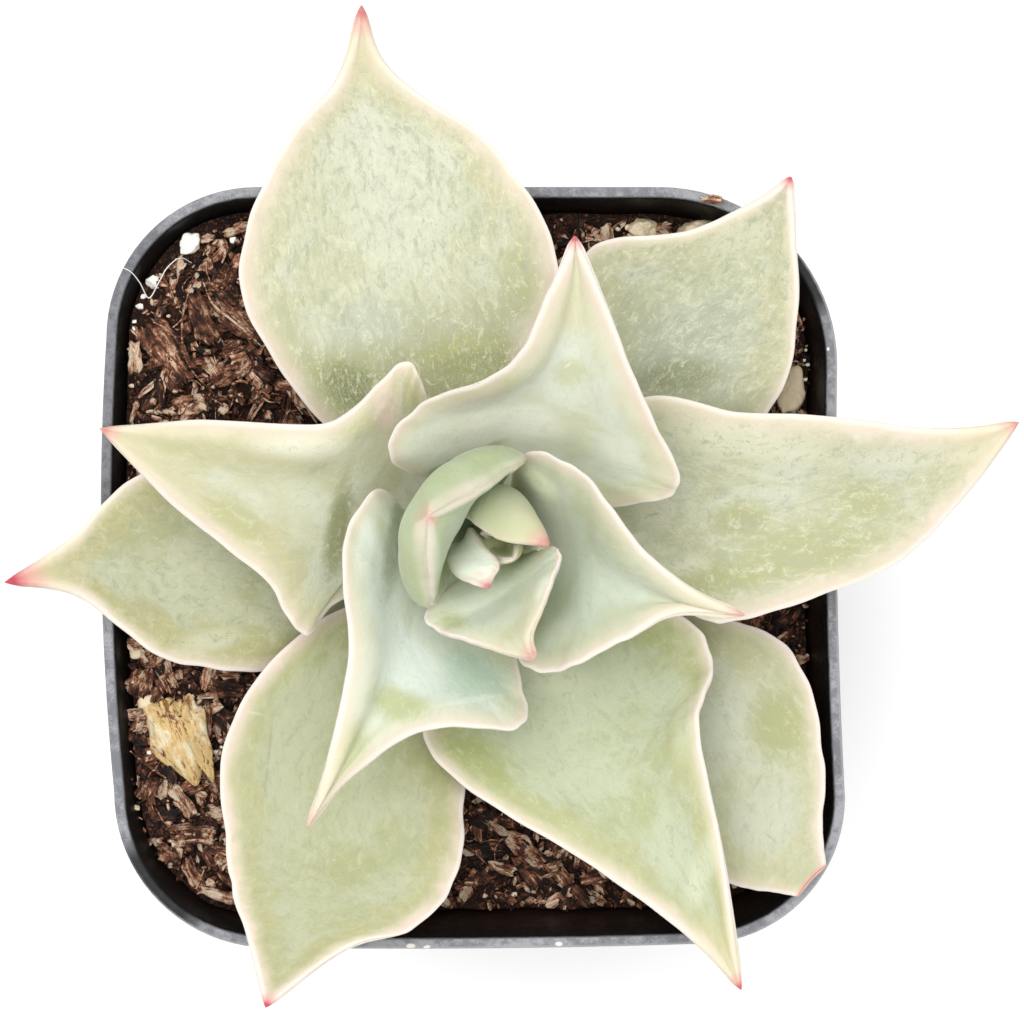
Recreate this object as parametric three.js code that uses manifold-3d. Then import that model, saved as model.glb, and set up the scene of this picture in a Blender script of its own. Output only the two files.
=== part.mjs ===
// A potted echeveria of the madiba kind: a rosette of broad, pointed succulent leaves on a short stem,
// growing in bark mix in a small square nursery pot. Millimetres, +Z up. The origin is the centre of the
// pot's underside, +X points to the right and +Y to the back of the pot.
import * as THREE from "three";
import { mergeVertices } from "three/addons/utils/BufferGeometryUtils.js";
import Module from "manifold-3d";

const wasm = await Module();
wasm.setup();
const { lerp } = THREE.MathUtils;

// Pot. The rim's corners are given before rounding, anticlockwise from the north-east, each with its radius
// and the bulge of the wall that follows it: the thin plastic isn't quite square.
const RIM_CORNERS = [
  { x: 28.1, y: 29.3, radius: 13.7, bulge: 0 },
  { x: -28.3, y: 29.3, radius: 11.6, bulge: 0.7 },
  { x: -27.7, y: -29.4, radius: 12, bulge: 0.2 },
  { x: 28.7, y: -29.1, radius: 11.3, bulge: -0.3 },
];
const CORNER_STEPS = 6; // facets on each corner
const WALL_STEPS = 6; // facets on each wall
const POT_HEIGHT = 56;
const POT_WALL = 0.65;
const POT_FLOOR = 1.2;
const FOOT_SCALE = 0.74; // the foot's size against the rim's
const FOOT_ROUND = 0.8; // the rounded edge under the pot
const LIP_HEIGHT = 4.5; // the band round the rim that stands proud of the wall
const LIP_STEP = 0.3;
const LIP_ROUND = 0.3;
const DRAIN_RADIUS = 2.4;
const DRAIN_OFFSET = 13;
const DRAIN_SIDES = 16;

// Bark mix and stem
const CLEARANCE = 0.3; // between solids that touch
const SOIL_LEVEL = 49.5;
const SOIL_BANK = 5; // how much higher the mix may lie at a wall
const SOIL_RINGS = 10;
const WEST_BANK = 3.9; // heights of the banks at the walls
const NORTH_BANK = 2.4;
const SOUTH_DIP = 0.8;
const BANK_REACH = 27; // from the middle of the pot to a bank's full height
const BROAD_HEAPS = 0.35; // heights of the uneven heaps all over
const SMALL_HEAPS = 0.2;
const AXIS = { x: 1.7, y: 1.7 }; // where the stem stands
const STEM_RADIUS = 3.3;
const STEM_PROFILE = [
  // radius and height, from the end of the root to the growing point
  [0.7, 24],
  [1.4, 31],
  [2.3, 39],
  [STEM_RADIUS, 46],
  [STEM_RADIUS, 60],
  [2.6, 62],
  [1.9, 64],
  [1.4, 65.5],
];
const STEM_TOP = 66.5;
const STEM_SIDES = 20;

// Bark chips fused into the mix
const CHIP_COUNT = 66;
const CHIP_SEED = 7;
const CHIP_LENGTH = [2, 5.2];
const CHIP_WIDTH = [1, 2.2];
const CHIP_THICKNESS = 1.1;
const CHIP_TILT = 0.3; // radians
const CHIP_LIFT = 0.1; // of a chip's middle above the mix
const CHIP_SPREAD = 24.5; // from the middle of the pot to the last chips
const CHIP_CORNER = { from: 15, radius: 9 }; // how the spread is rounded in the pot's corners
const CHIP_TO_STEM = 9; // least distances of a chip's middle
const CHIP_TO_LOOSE = 3.4;
const CORNER_LOSS = 0.45; // the most that a slab's corner is drawn in, as a share of its width
const LENGTH_LOSS = 0.3; // the same corner's share of that along the slab
const HEIGHT_LOSS = 0.4;

const COLOURS = {
  pot: 0x1d1e20,
  soil: 0x33231a,
  stem: 0xa9b48a,
  leaf: 0xbccbaa,
  pumice: 0xd8c4a0,
  perlite: 0xe9e7dc,
  flake: 0xd2a768,
  chip: 0xb98a63,
};

// Leaves, oldest first. Each row of points runs across the blade, [rib, left edge, right edge] as seen from
// the stem, and the rows run from the stem to the tip. roll is how far the left and right halves stand proud
// of the straight way from the rib to each edge, so that the edges turn down. Less than nought bows a half
// outwards instead. plump is how much fatter a young leaf is towards its tip.
const LEAVES = [
  {
    name: "leaf_01_southeast_low",
    thickness: 2.2,
    roll: [0.2, 0.2],
    rows: [
      [[4.0, -0.8, 51.5], [5.8, 1.2, 51.5], [2.2, -2.8, 51.5]],
      [[11.8, -8.8, 53.5], [17.1, -3.1, 54.8], [6.7, -13.5, 53.5]],
      [[17.5, -13.8, 55], [24.7, -6.6, 56.8], [12.1, -20.3, 55.2]],
      [[22.4, -18.3, 56.4], [26.8, -14.6, 57.6], [19, -24.1, 56.7]],
      [[24.7, -21.7, 57], [26.8, -20.5, 57.6], [22.8, -24.9, 57.1]],
      [[26, -24, 57.1], [27.1, -23, 57.3], [25, -25.3, 57.2]],
    ],
  },
  {
    name: "leaf_02_west_low",
    thickness: 2.3,
    roll: [0.3, 0.3],
    rows: [
      [[-1.8, 1.5, 51.8], [-1.6, -1.1, 51.8], [-1.9, 4.2, 51.8]],
      [[-9.6, 1, 53.7], [-9.5, -5.7, 54], [-10.3, 7.5, 55]],
      [[-16.2, 0.5, 55.8], [-16, -8, 56.7], [-17.8, 9, 57.5]],
      [[-24.3, 0, 57.8], [-23.5, -6.9, 58.8], [-25.1, 7.3, 59]],
      [[-30.2, -0.2, 59.5], [-29.9, -2.2, 60], [-30.6, 2.2, 60]],
      [[-35.4, -1.1, 61], [-35.4, -1.1, 61], [-35.4, -1.1, 61]],
    ],
  },
  {
    name: "leaf_03_northeast_low",
    thickness: 2.3,
    roll: [0.3, 0.3],
    rows: [
      [[3.8, 4.4, 52.1], [2.3, 6.3, 52], [5.6, 2.3, 52.3]],
      [[11, 12.1, 54.3], [6, 17.3, 54.4], [16, 6.7, 55]],
      [[15.9, 18.2, 56.3], [9, 24.3, 57.2], [22.9, 11.9, 57.5]],
      [[20.8, 22.7, 58.3], [16.6, 25.7, 59.5], [24.7, 19.6, 59.5]],
      [[23, 26.9, 59.6], [21.3, 27.7, 60.3], [24.4, 26, 60.3]],
      [[24.1, 29.6, 61], [24.1, 29.6, 61], [24.1, 29.6, 61]],
    ],
  },
  {
    name: "leaf_04_southwest_low",
    thickness: 2.4,
    roll: [0.3, 0.3],
    rows: [
      [[0.1, -1.5, 53.8], [2.3, -2.5, 53.6], [-2.3, -0.5, 54.1]],
      [[-6, -8.7, 56.1], [0.2, -11.8, 56.2], [-12.8, -4.7, 58]],
      [[-9.4, -15.2, 57.8], [-0.6, -17.8, 58.5], [-18.4, -12, 59.6]],
      [[-10.9, -22.3, 59], [-1.3, -23.7, 60], [-18.8, -20.6, 60.5]],
      [[-12.1, -25.6, 60], [-4.3, -27.2, 60.9], [-18.1, -24.3, 61.2]],
      [[-13.6, -28.9, 61], [-9.6, -28.8, 61.5], [-17, -27.8, 61.7]],
      [[-15.5, -33, 63], [-15.5, -33, 63], [-15.5, -33, 63]],
    ],
  },
  {
    name: "leaf_05_north_low",
    thickness: 2.5,
    roll: [0.3, 0.3],
    rows: [
      [[0.9, 5, 54.2], [-1.6, 4.4, 53.9], [3.5, 5.6, 54.5]],
      [[-2.5, 13.2, 56.4], [-11.7, 11.3, 58], [4, 15.8, 58.4]],
      [[-5.2, 22, 58.1], [-17.5, 21, 60.5], [6.5, 23.5, 60.7]],
      [[-7, 31.3, 59.8], [-14.7, 31.2, 61.8], [1.7, 31.5, 61.8]],
      [[-8.3, 37.2, 61], [-10.2, 36.8, 61.8], [-6.1, 37.5, 61.8]],
      [[-8.3, 42.3, 63], [-8.3, 42.3, 63], [-8.3, 42.3, 63]],
    ],
  },
  {
    name: "leaf_06_south",
    thickness: 2.5,
    roll: [0.4, 0.4],
    rows: [
      [[3.3, -1.3, 55.3], [5.6, -0.3, 55.1], [1.3, -2.6, 55.5]],
      [[6.7, -7.1, 57.7], [15.4, -3.4, 59.5], [-3.6, -10.5, 59.2]],
      [[9.7, -13.1, 59.5], [18.2, -7.2, 61.5], [-1.5, -15.9, 61.2]],
      [[13, -18.1, 61.5], [17, -11.8, 63], [8.4, -21.9, 62.8]],
      [[17.7, -25.4, 63.5], [18.7, -21, 64.3], [16.5, -27.8, 64.3]],
      [[20.1, -31.4, 65], [20.1, -31.4, 65], [20.1, -31.4, 65]],
    ],
  },
  {
    name: "leaf_07_east",
    thickness: 2.5,
    roll: [0.4, 0.4],
    rows: [
      [[5, 2.5, 56], [4.6, 5.2, 56], [5.5, 0, 56]],
      [[13.5, 4.4, 59], [12.2, 12.5, 62], [15.7, -3.4, 60.6]],
      [[20.2, 4.8, 61], [20.1, 11.8, 63.8], [20.5, -3.8, 62.5]],
      [[29.2, 5.6, 63], [28.4, 11.1, 65], [30.7, -0.2, 64]],
      [[36, 8, 65], [35.5, 10.4, 66], [36.5, 5.2, 65.5]],
      [[40.6, 10.9, 66.5], [40.6, 10.9, 66.5], [40.6, 10.9, 66.5]],
    ],
  },
  {
    name: "leaf_08_west",
    thickness: 2.5,
    roll: [0.6, 0.9],
    rows: [
      [[-1.6, 2.7, 56], [-0.9, 0.2, 56], [-2.3, 5.2, 56]],
      [[-5.9, 4.8, 59], [-9.7, -2.3, 60.7], [-3.3, 12.6, 65]],
      [[-9.6, 5.1, 61.5], [-12.7, -5, 62.7], [-5, 15.2, 67.5]],
      [[-14, 5.9, 63.5], [-15.7, -0.6, 64.5], [-10.5, 11, 66.5]],
      [[-21.3, 7.8, 66], [-22, 4.6, 66.5], [-20.1, 11, 67]],
      [[-27.4, 10.4, 68], [-27.4, 10.4, 68], [-27.4, 10.4, 68]],
    ],
  },
  {
    name: "leaf_09_southwest",
    thickness: 2.4,
    roll: [0.5, 0.8],
    rows: [
      [[-0.2, -1.2, 58], [1.9, -2.5, 58], [-2.4, 0.3, 58]],
      [[-2.4, -3.6, 61.5], [3.7, -8.4, 63.5], [-6.6, 5.9, 67]],
      [[-4.2, -6.1, 64.5], [3.6, -11.7, 66.5], [-9.2, 2.2, 69.5]],
      [[-6.2, -8.9, 67], [-3.4, -11.8, 68.5], [-9, -6.2, 70]],
      [[-9, -13.6, 69.8], [-8.8, -15.2, 70.5], [-10.3, -13.3, 71]],
      [[-11.9, -18.7, 72], [-11.9, -18.7, 72], [-11.9, -18.7, 72]],
    ],
  },
  {
    name: "leaf_10_north",
    thickness: 2.4,
    roll: [0.8, 0.5],
    rows: [
      [[2.5, 5, 58.5], [0.2, 5.6, 58.5], [4.9, 4.4, 58.5]],
      [[3.8, 8.9, 62.5], [-6, 8.1, 69], [12.5, 4.8, 66]],
      [[4.9, 11.8, 66], [-3.7, 11.9, 71.5], [15.3, 6.7, 69]],
      [[6.7, 15.4, 69.5], [2.9, 14.9, 73], [12.3, 12.9, 72]],
      [[7.6, 19.9, 73], [5.7, 20.2, 74.8], [9.7, 19.3, 74.3]],
      [[7.5, 24, 76], [7.5, 24, 76], [7.5, 24, 76]],
    ],
  },
  {
    name: "leaf_11_east",
    thickness: 2.2,
    roll: [0.6, 0.4],
    rows: [
      [[4.8, 0.9, 60], [2.6, 5, 60.5], [5.4, -1.6, 60]],
      [[7.3, 0.1, 64.5], [3.9, 8.5, 71.5], [3.4, -6.6, 67.5]],
      [[9.1, -0.4, 67.5], [8.1, 7.1, 73.5], [6.5, -7.3, 69.5]],
      [[11.6, -1.3, 70], [11.9, 2.1, 74], [11, -5.2, 71.8]],
      [[15.2, -2.3, 72.5], [15.8, -1.2, 74], [14.8, -3.1, 73.2]],
      [[19.8, -3.2, 74], [19.8, -3.2, 74], [19.8, -3.2, 74]],
    ],
  },
  {
    name: "leaf_12_south_cup",
    thickness: 1.9,
    roll: [0.2, 0.2],
    rows: [
      [[2.3, 0.1, 63.5], [4.4, 1, 63.5], [-0.1, 0, 63.5]],
      [[2.4, -1.2, 66.3], [5.8, 1.8, 71], [-3.3, -2.9, 69]],
      [[2.6, -2.6, 67.5], [6.4, 0.8, 72.5], [-2.3, -4.5, 70]],
      [[3, -3.8, 70], [5.4, -2.1, 73], [0.7, -5.4, 71.5]],
      [[3.7, -5.2, 73], [4.3, -4.6, 74], [3, -6.1, 73.5]],
      [[4.6, -6.3, 75], [4.6, -6.3, 75], [4.6, -6.3, 75]],
    ],
  },
  {
    name: "leaf_13_west_cup",
    thickness: 1.8,
    plump: 2.6,
    roll: [0, -0.6],
    rows: [
      [[-0.4, 2.7, 62.5], [-0.8, 1.5, 62.5], [0.4, 3.6, 62.5]],
      [[-2.1, 3.2, 66], [-2.1, -1.7, 68], [3.2, 7.6, 69]],
      [[-2.4, 3.6, 70], [-2.7, -2.5, 73], [3.9, 8, 74]],
      [[-2, 3.6, 73.3], [-2.9, -0.6, 75.5], [1.8, 6.5, 76]],
      [[-2.4, 3.7, 75.9], [-3, 1.9, 77], [-0.7, 5.1, 77]],
      [[-3, 3.9, 77.5], [-3, 3.9, 77.5], [-3, 3.9, 77.5]],
    ],
  },
  {
    name: "leaf_14_east_cup",
    thickness: 1.3,
    roll: [0, 0],
    rows: [
      [[2.7, 2.5, 64], [1.8, 3.3, 64], [3.4, 1.5, 64]],
      [[2.6, 4.7, 67.4], [-0.5, 3.9, 69], [4.5, 1.4, 67.5]],
      [[2.7, 5.3, 70.3], [0.1, 3.5, 72], [4.9, 1.4, 70]],
      [[3.8, 3.9, 72.8], [2.1, 2.2, 73.8], [5.1, 1.5, 72.4]],
      [[4.8, 2.7, 74.2], [3.9, 1.9, 74.6], [5.3, 1.6, 74.2]],
      [[5.4, 1.8, 75], [5.4, 1.8, 75], [5.4, 1.8, 75]],
    ],
  },
  {
    name: "leaf_15_south_bud",
    thickness: 1.1,
    roll: [0, 0],
    rows: [
      [[0.5, 1.8, 64.5], [1.1, 2, 64.5], [-0.1, 1.2, 64.5]],
      [[-0.5, 1.8, 67], [-0.1, 3.1, 68], [-1.6, 1.8, 67]],
      [[-0.8, 1.1, 69.5], [1, 1.8, 70.5], [-1.7, 0.6, 69.5]],
      [[-0.3, 0.2, 71.5], [2.1, 0.5, 72], [-0.9, -0.5, 71.5]],
      [[0.5, -0.7, 72.8], [1.7, -0.5, 72.8], [0.2, -0.9, 72.8]],
      [[1.3, -1.3, 73.5], [1.3, -1.3, 73.5], [1.3, -1.3, 73.5]],
    ],
  },
];

// The newest leaves, still one with the growing point.
const BUD_LEAVES = [
  {
    thickness: 0.8,
    roll: [0, 0],
    rows: [
      [[1.9, 1.8, 63.5], [2.5, 2.3, 63.5], [1.3, 1.4, 63.5]],
      [[2.6, 1.5, 66], [2.9, 2.6, 66.5], [1.4, 1.4, 66.5]],
      [[3, 1.2, 68], [3.2, 2.5, 68.5], [1.5, 1.2, 68.5]],
      [[3.1, 1.1, 69.8], [3.3, 2.1, 70], [1.8, 0.9, 70]],
      [[3.1, 1, 71], [3.2, 1.7, 71], [2.3, 0.8, 71]],
      [[3.1, 0.9, 71.6], [3.1, 0.9, 71.6], [3.1, 0.9, 71.6]],
    ],
  },
  {
    thickness: 0.7,
    roll: [0, 0],
    rows: [
      [[1.7, 2.2, 63.5], [1.2, 1.8, 63.5], [2.1, 2.5, 63.5]],
      [[1.6, 2.7, 66], [1.1, 2.3, 66.3], [2.4, 2.9, 66.3]],
      [[1.4, 2.8, 67.6], [1, 2.4, 67.8], [2.2, 3, 67.8]],
      [[1.3, 2.8, 69], [1, 2.5, 69.2], [2, 2.9, 69.2]],
      [[1.4, 2.7, 70], [1.2, 2.6, 70.1], [1.8, 2.7, 70.1]],
      [[1.6, 2.5, 70.6], [1.6, 2.5, 70.6], [1.6, 2.5, 70.6]],
    ],
  },
];

const LEAF_ROWS = 16; // rings from the stem to the tip
const LEAF_ACROSS = [0, 0.38, 0.68, 0.9, 1]; // stations from the rib to each edge
const BUD_ROWS = 8;
const CUP_POWER = 2.2; // 2 gives a parabolic cross-section
const LAST_RING = 0.97; // where the last ring lies, before the tip's own point
const TIP_THICKNESS = 0.24; // of the leaf's thickness
const ABOVE = 0.35; // share of the thickness on the upper side of the middle surface
const BELOW = 0.65;

// Loose pieces on the mix, placed by their middles. Pumice and perlite are sunk in it by half their height.
const STONES = [
  { name: "pumice_01_north", x: 13.1, y: 26.4, size: [1.2, 0.8, 1.4], colour: "pumice" },
  { name: "pumice_02_northeast", x: 17.3, y: 26.15, size: [1.4, 0.9, 2.2], colour: "pumice" },
  { name: "pumice_03_east", x: 24.8, y: 13.7, size: [1.25, 1.8, 1.6], colour: "pumice" },
  { name: "perlite_01_northwest", x: -22, y: 25, size: [0.75, 0.85, 0.7], colour: "perlite" },
  { name: "perlite_02_northwest", x: -24.9, y: 22.1, size: [0.5, 0.55, 0.5], colour: "perlite" },
];
const STONE_DETAIL = 2;
const STONE_LIFT = 0.2; // of a stone's middle above the mix
const STONE_LUMPS = [0.13, 0.09];

// The flake is a thin curled sheet. Its heights are above the mix.
const FLAKE = {
  middle: { x: -22.8, y: -13.6 },
  thickness: 0.7,
  roll: [0.35, 0.35],
  rows: [
    [[-24, -10.2, 1.1], [-22.3, -9.9, 1], [-25.3, -10.5, 1]],
    [[-23.5, -11.5, 1.2], [-21.2, -11.2, 1], [-25.4, -12, 1]],
    [[-22.9, -12.9, 1.3], [-20.6, -12.9, 1], [-24.9, -13.6, 1]],
    [[-22.3, -14.3, 1.3], [-20.3, -14.6, 1], [-23.9, -15.1, 1]],
    [[-21.7, -15.7, 1.2], [-20.3, -16, 1], [-22.8, -16.3, 1]],
    [[-21, -17, 1.1], [-20.4, -17.1, 1], [-21.7, -17.2, 1]],
  ],
};

// Pale splinters that lie on the mix: middle, length, width and turn in plan in degrees.
const SPLINTERS = [
  { name: "bark_chip_01_west", x: -26.2, y: 16.2, length: 2.7, width: 1.1, turn: 86 },
  { name: "bark_chip_02_south", x: -2.6, y: -26.4, length: 1.7, width: 0.9, turn: -20 },
  { name: "bark_chip_03_south", x: -0.6, y: -25.9, length: 1.4, width: 1, turn: 50 },
  { name: "bark_chip_04_south", x: 1.7, y: -20.6, length: 2.4, width: 0.7, turn: -28 },
];
const SPLINTER_THICKNESS = 0.7;
const SPLINTER_LIFT = 0.5; // from the mix to a splinter's underside

const smooth = (x) => {
  const c = Math.min(Math.max(x, 0), 1);
  return c * c * (3 - 2 * c);
};

// Repeatable random numbers from 0 to 1.
function randomFrom(seed) {
  let state = seed;
  return () => {
    state = (state * 1664525 + 1013904223) % 4294967296;
    return state / 4294967296;
  };
}

// A closed surface through rings of points, with a fan over each end.
function skin(rings, firstEnd, lastEnd) {
  const count = rings[0].length;
  const points = rings.flat();
  const first = points.push(firstEnd) - 1;
  const last = points.push(lastEnd) - 1;
  const faces = [];
  for (let j = 0; j < rings.length - 1; j++)
    for (let i = 0; i < count; i++) {
      const next = (i + 1) % count;
      const [a, b] = [j * count + i, j * count + next];
      const [c, d] = [a + count, b + count];
      faces.push(a, b, d, a, d, c);
    }
  const top = (rings.length - 1) * count;
  for (let i = 0; i < count; i++) {
    const next = (i + 1) % count;
    faces.push(first, next, i, last, top + i, top + next);
  }
  return new THREE.BufferGeometry().setFromPoints(points).setIndex(faces);
}

function toSolid(geometry) {
  const bare = geometry.clone();
  bare.deleteAttribute("normal");
  bare.deleteAttribute("uv");
  const merged = mergeVertices(bare, 1e-4);
  const made = new wasm.Manifold(
    new wasm.Mesh({
      numProp: 3,
      vertProperties: merged.attributes.position.array,
      triVerts: new Uint32Array(merged.index.array),
    }),
  );
  if (made.volume() < 0) throw new Error("a surface faces inwards");
  return made;
}

function toGeometry(solid) {
  const mesh = solid.getMesh();
  const geometry = new THREE.BufferGeometry();
  geometry.setAttribute("position", new THREE.BufferAttribute(mesh.vertProperties, 3));
  geometry.setIndex(new THREE.BufferAttribute(mesh.triVerts, 1));
  geometry.computeVertexNormals();
  return geometry;
}

// The largest of the bodies that a cut leaves.
const mainBody = (solid) => solid.decompose().sort((a, b) => b.volume() - a.volume())[0];

// The blade's middle surface: across runs from -1 at the left edge to 1 at the right, and along from the
// stem to the tip.
function bladeOf(leaf) {
  const line = (column) => {
    const points = leaf.rows.map((row) => new THREE.Vector3(...row[column]));
    return new THREE.CatmullRomCurve3(points, false, "catmullrom", 0.5);
  };
  const [rib, left, right] = [line(0), line(1), line(2)];
  const flat = (across, along) => {
    const [m, l, r] = [rib.getPoint(along), left.getPoint(along), right.getPoint(along)];
    const cup = l.clone().add(r).multiplyScalar(0.5).sub(m);
    return m.addScaledVector(r.sub(l), across / 2).addScaledVector(cup, Math.abs(across) ** CUP_POWER);
  };
  const upwards = (across, along) => {
    const step = 0.01;
    const t = Math.min(Math.max(along, step), 1 - step);
    const acrossWay = flat(across + step, t).sub(flat(across - step, t));
    const alongWay = flat(across, t + step).sub(flat(across, t - step));
    return acrossWay.cross(alongWay).normalize();
  };
  return (across, along) => {
    const up = upwards(across, along);
    const crest = 4 * across ** 2 * (1 - across ** 2) * Math.sin(Math.PI * along);
    const roll = leaf.roll[across < 0 ? 0 : 1] * crest;
    return { point: flat(across, along).addScaledVector(up, roll), up };
  };
}

function leafGeometry(leaf, rows) {
  const blade = bladeOf(leaf);
  const across = [...LEAF_ACROSS.slice(1).map((s) => -s).reverse(), ...LEAF_ACROSS];
  const rings = [];
  for (let j = 0; j <= rows; j++) {
    const along = (LAST_RING * j) / rows;
    const plain = leaf.thickness * (TIP_THICKNESS + (1 - TIP_THICKNESS) * (1 - along ** 3));
    const body = plain + (leaf.plump ?? 0) * Math.sin(Math.PI * along ** 2);
    const at = (s, side) => {
      const { point, up } = blade(s, along);
      const share = Math.sqrt(Math.max(0, 1 - Math.abs(s) ** 3));
      return point.addScaledVector(up, body * share * side);
    };
    const above = across.map((s) => at(s, ABOVE));
    const below = across.slice(1, -1).map((s) => at(s, -BELOW));
    rings.push([...above, ...below.reverse()]);
  }
  return skin(rings, blade(0, 0).point, blade(0, 1).point);
}

// The outline of the lip's outer face carried down to a height and moved out by an amount, as points going
// round anticlockwise from above.
function potOutline(z, out) {
  const share = z / POT_HEIGHT;
  const scale = lerp(FOOT_SCALE, 1, share);
  const corners = RIM_CORNERS.map((corner) => {
    const radius = corner.radius * scale + out;
    const middle = (reach) => reach * scale + Math.sign(reach) * (out - radius);
    return { x: middle(corner.x), y: middle(corner.y), radius, bulge: corner.bulge * share };
  });
  const onArc = ({ x, y, radius }, angle) =>
    new THREE.Vector3(x + radius * Math.cos(angle), y + radius * Math.sin(angle), z);
  return corners.flatMap((corner, i) => {
    const [from, to] = [(i * Math.PI) / 2, ((i + 1) * Math.PI) / 2];
    const points = [];
    for (let k = 0; k <= CORNER_STEPS; k++) points.push(onArc(corner, lerp(from, to, k / CORNER_STEPS)));
    const wallEnd = onArc(corners[(i + 1) % 4], to);
    const facing = new THREE.Vector3(Math.cos(to), Math.sin(to), 0);
    for (let k = 1; k < WALL_STEPS; k++) {
      const u = k / WALL_STEPS;
      const straight = points[CORNER_STEPS].clone().lerp(wallEnd, u);
      points.push(straight.addScaledVector(facing, 4 * u * (1 - u) * corner.bulge));
    }
    return points;
  });
}

function potSolid() {
  const lipFoot = POT_HEIGHT - LIP_HEIGHT;
  const inside = -LIP_STEP - POT_WALL;
  const rings = [
    potOutline(0, -LIP_STEP - FOOT_ROUND),
    potOutline(FOOT_ROUND, -LIP_STEP),
    potOutline(lipFoot / 2, -LIP_STEP),
    potOutline(lipFoot - LIP_STEP, -LIP_STEP),
    potOutline(lipFoot, 0),
    potOutline(POT_HEIGHT - LIP_ROUND, 0),
    potOutline(POT_HEIGHT, -LIP_ROUND),
    potOutline(POT_HEIGHT, inside + LIP_ROUND),
    potOutline(POT_HEIGHT - LIP_ROUND, inside),
    potOutline(lipFoot / 2, inside),
    potOutline(POT_FLOOR, inside),
  ];
  const shell = toSolid(skin(rings, new THREE.Vector3(0, 0, 0), new THREE.Vector3(0, 0, POT_FLOOR)));
  const drain = new THREE.CylinderGeometry(DRAIN_RADIUS, DRAIN_RADIUS, 4 * POT_FLOOR, DRAIN_SIDES);
  drain.rotateX(Math.PI / 2);
  return RIM_CORNERS.reduce((pot, { x, y }) => {
    const [sx, sy] = [Math.sign(x), Math.sign(y)];
    return pot.subtract(toSolid(drain.clone().translate(sx * DRAIN_OFFSET, sy * DRAIN_OFFSET, 0)));
  }, shell);
}

// The stem with the root that it stands on, grown all round by an amount.
function stemGeometry(extra) {
  const profile = STEM_PROFILE.map(([radius, z]) => new THREE.Vector2(radius + extra, z));
  const ends = [STEM_PROFILE[0][1] - extra, STEM_TOP + extra].map((z) => new THREE.Vector2(0, z));
  return new THREE.LatheGeometry([ends[0], ...profile, ends[1]], STEM_SIDES)
    .rotateX(Math.PI / 2)
    .translate(AXIS.x, AXIS.y, 0);
}

// The height of the bark mix: banked up against the west and north walls and lower along the south one.
function soilHeight(x, y) {
  const [west, north, south] = [-x, y, -y].map((reach) => smooth(reach / BANK_REACH));
  const broad = BROAD_HEAPS * Math.sin(0.45 * x + 1) * Math.cos(0.38 * y);
  const small = SMALL_HEAPS * Math.sin(1.1 * x - 0.7 * y);
  const bank = WEST_BANK * west + NORTH_BANK * north * (1 - west) - SOUTH_DIP * south;
  return SOIL_LEVEL + bank + broad + small;
}

function soilGeometry() {
  const inside = -LIP_STEP - POT_WALL - CLEARANCE;
  const base = POT_FLOOR + CLEARANCE;
  const rings = [potOutline(base, inside), potOutline(SOIL_LEVEL / 2, inside)];
  const [low, high] = [potOutline(SOIL_LEVEL, inside), potOutline(SOIL_LEVEL + SOIL_BANK, inside)];
  const edge = low.map((point, i) => {
    const bank = (soilHeight(point.x, point.y) - SOIL_LEVEL) / SOIL_BANK;
    return point.lerp(high[i], bank);
  });
  for (let j = SOIL_RINGS; j > 0; j--) {
    const k = j / SOIL_RINGS;
    const ring = edge.map(({ x, y }) => {
      const [px, py] = [lerp(AXIS.x, x, k), lerp(AXIS.y, y, k)];
      return new THREE.Vector3(px, py, soilHeight(px, py));
    });
    rings.push(ring);
  }
  const middle = new THREE.Vector3(AXIS.x, AXIS.y, soilHeight(AXIS.x, AXIS.y));
  return skin(rings, new THREE.Vector3(0, 0, base), middle);
}

// A slab of bark with uneven corners, lying flat with its middle at the origin.
function slab(length, width, thickness, random) {
  const geometry = new THREE.BoxGeometry(length, width, thickness);
  const uneven = Array.from({ length: 8 }, () => lerp(1 - CORNER_LOSS, 1, random()));
  const position = geometry.attributes.position;
  for (let i = 0; i < position.count; i++) {
    const [x, y, z] = [position.getX(i), position.getY(i), position.getZ(i)];
    const share = uneven[(x > 0 ? 1 : 0) + (y > 0 ? 2 : 0) + (z > 0 ? 4 : 0)];
    position.setXYZ(i, x * lerp(1 - LENGTH_LOSS, 1, share), y * share, z * lerp(1 - HEIGHT_LOSS, 1, share));
  }
  return geometry;
}

// Chips lie at all angles over the mix, half sunk in it, clear of the stem and the loose pieces.
function chipSolids() {
  const random = randomFrom(CHIP_SEED);
  const between = (low, high) => lerp(low, high, random());
  const loose = [...STONES, ...SPLINTERS, FLAKE.middle];
  const chips = [];
  while (chips.length < CHIP_COUNT) {
    const [x, y] = [between(-CHIP_SPREAD, CHIP_SPREAD), between(-CHIP_SPREAD, CHIP_SPREAD)];
    const [intoX, intoY] = [x, y].map((reach) => Math.max(Math.abs(reach) - CHIP_CORNER.from, 0));
    const inPot = Math.hypot(intoX, intoY) < CHIP_CORNER.radius;
    const offStem = Math.hypot(x - AXIS.x, y - AXIS.y) > CHIP_TO_STEM;
    const offLoose = loose.every((piece) => Math.hypot(piece.x - x, piece.y - y) > CHIP_TO_LOOSE);
    if (!inPot || !offStem || !offLoose) continue;
    const chip = slab(between(...CHIP_LENGTH), between(...CHIP_WIDTH), CHIP_THICKNESS, random)
      .rotateX(between(-CHIP_TILT, CHIP_TILT))
      .rotateY(between(-CHIP_TILT, CHIP_TILT))
      .rotateZ(between(0, Math.PI))
      .translate(x, y, soilHeight(x, y) + CHIP_LIFT);
    chips.push(toSolid(chip));
  }
  return chips;
}

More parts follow.
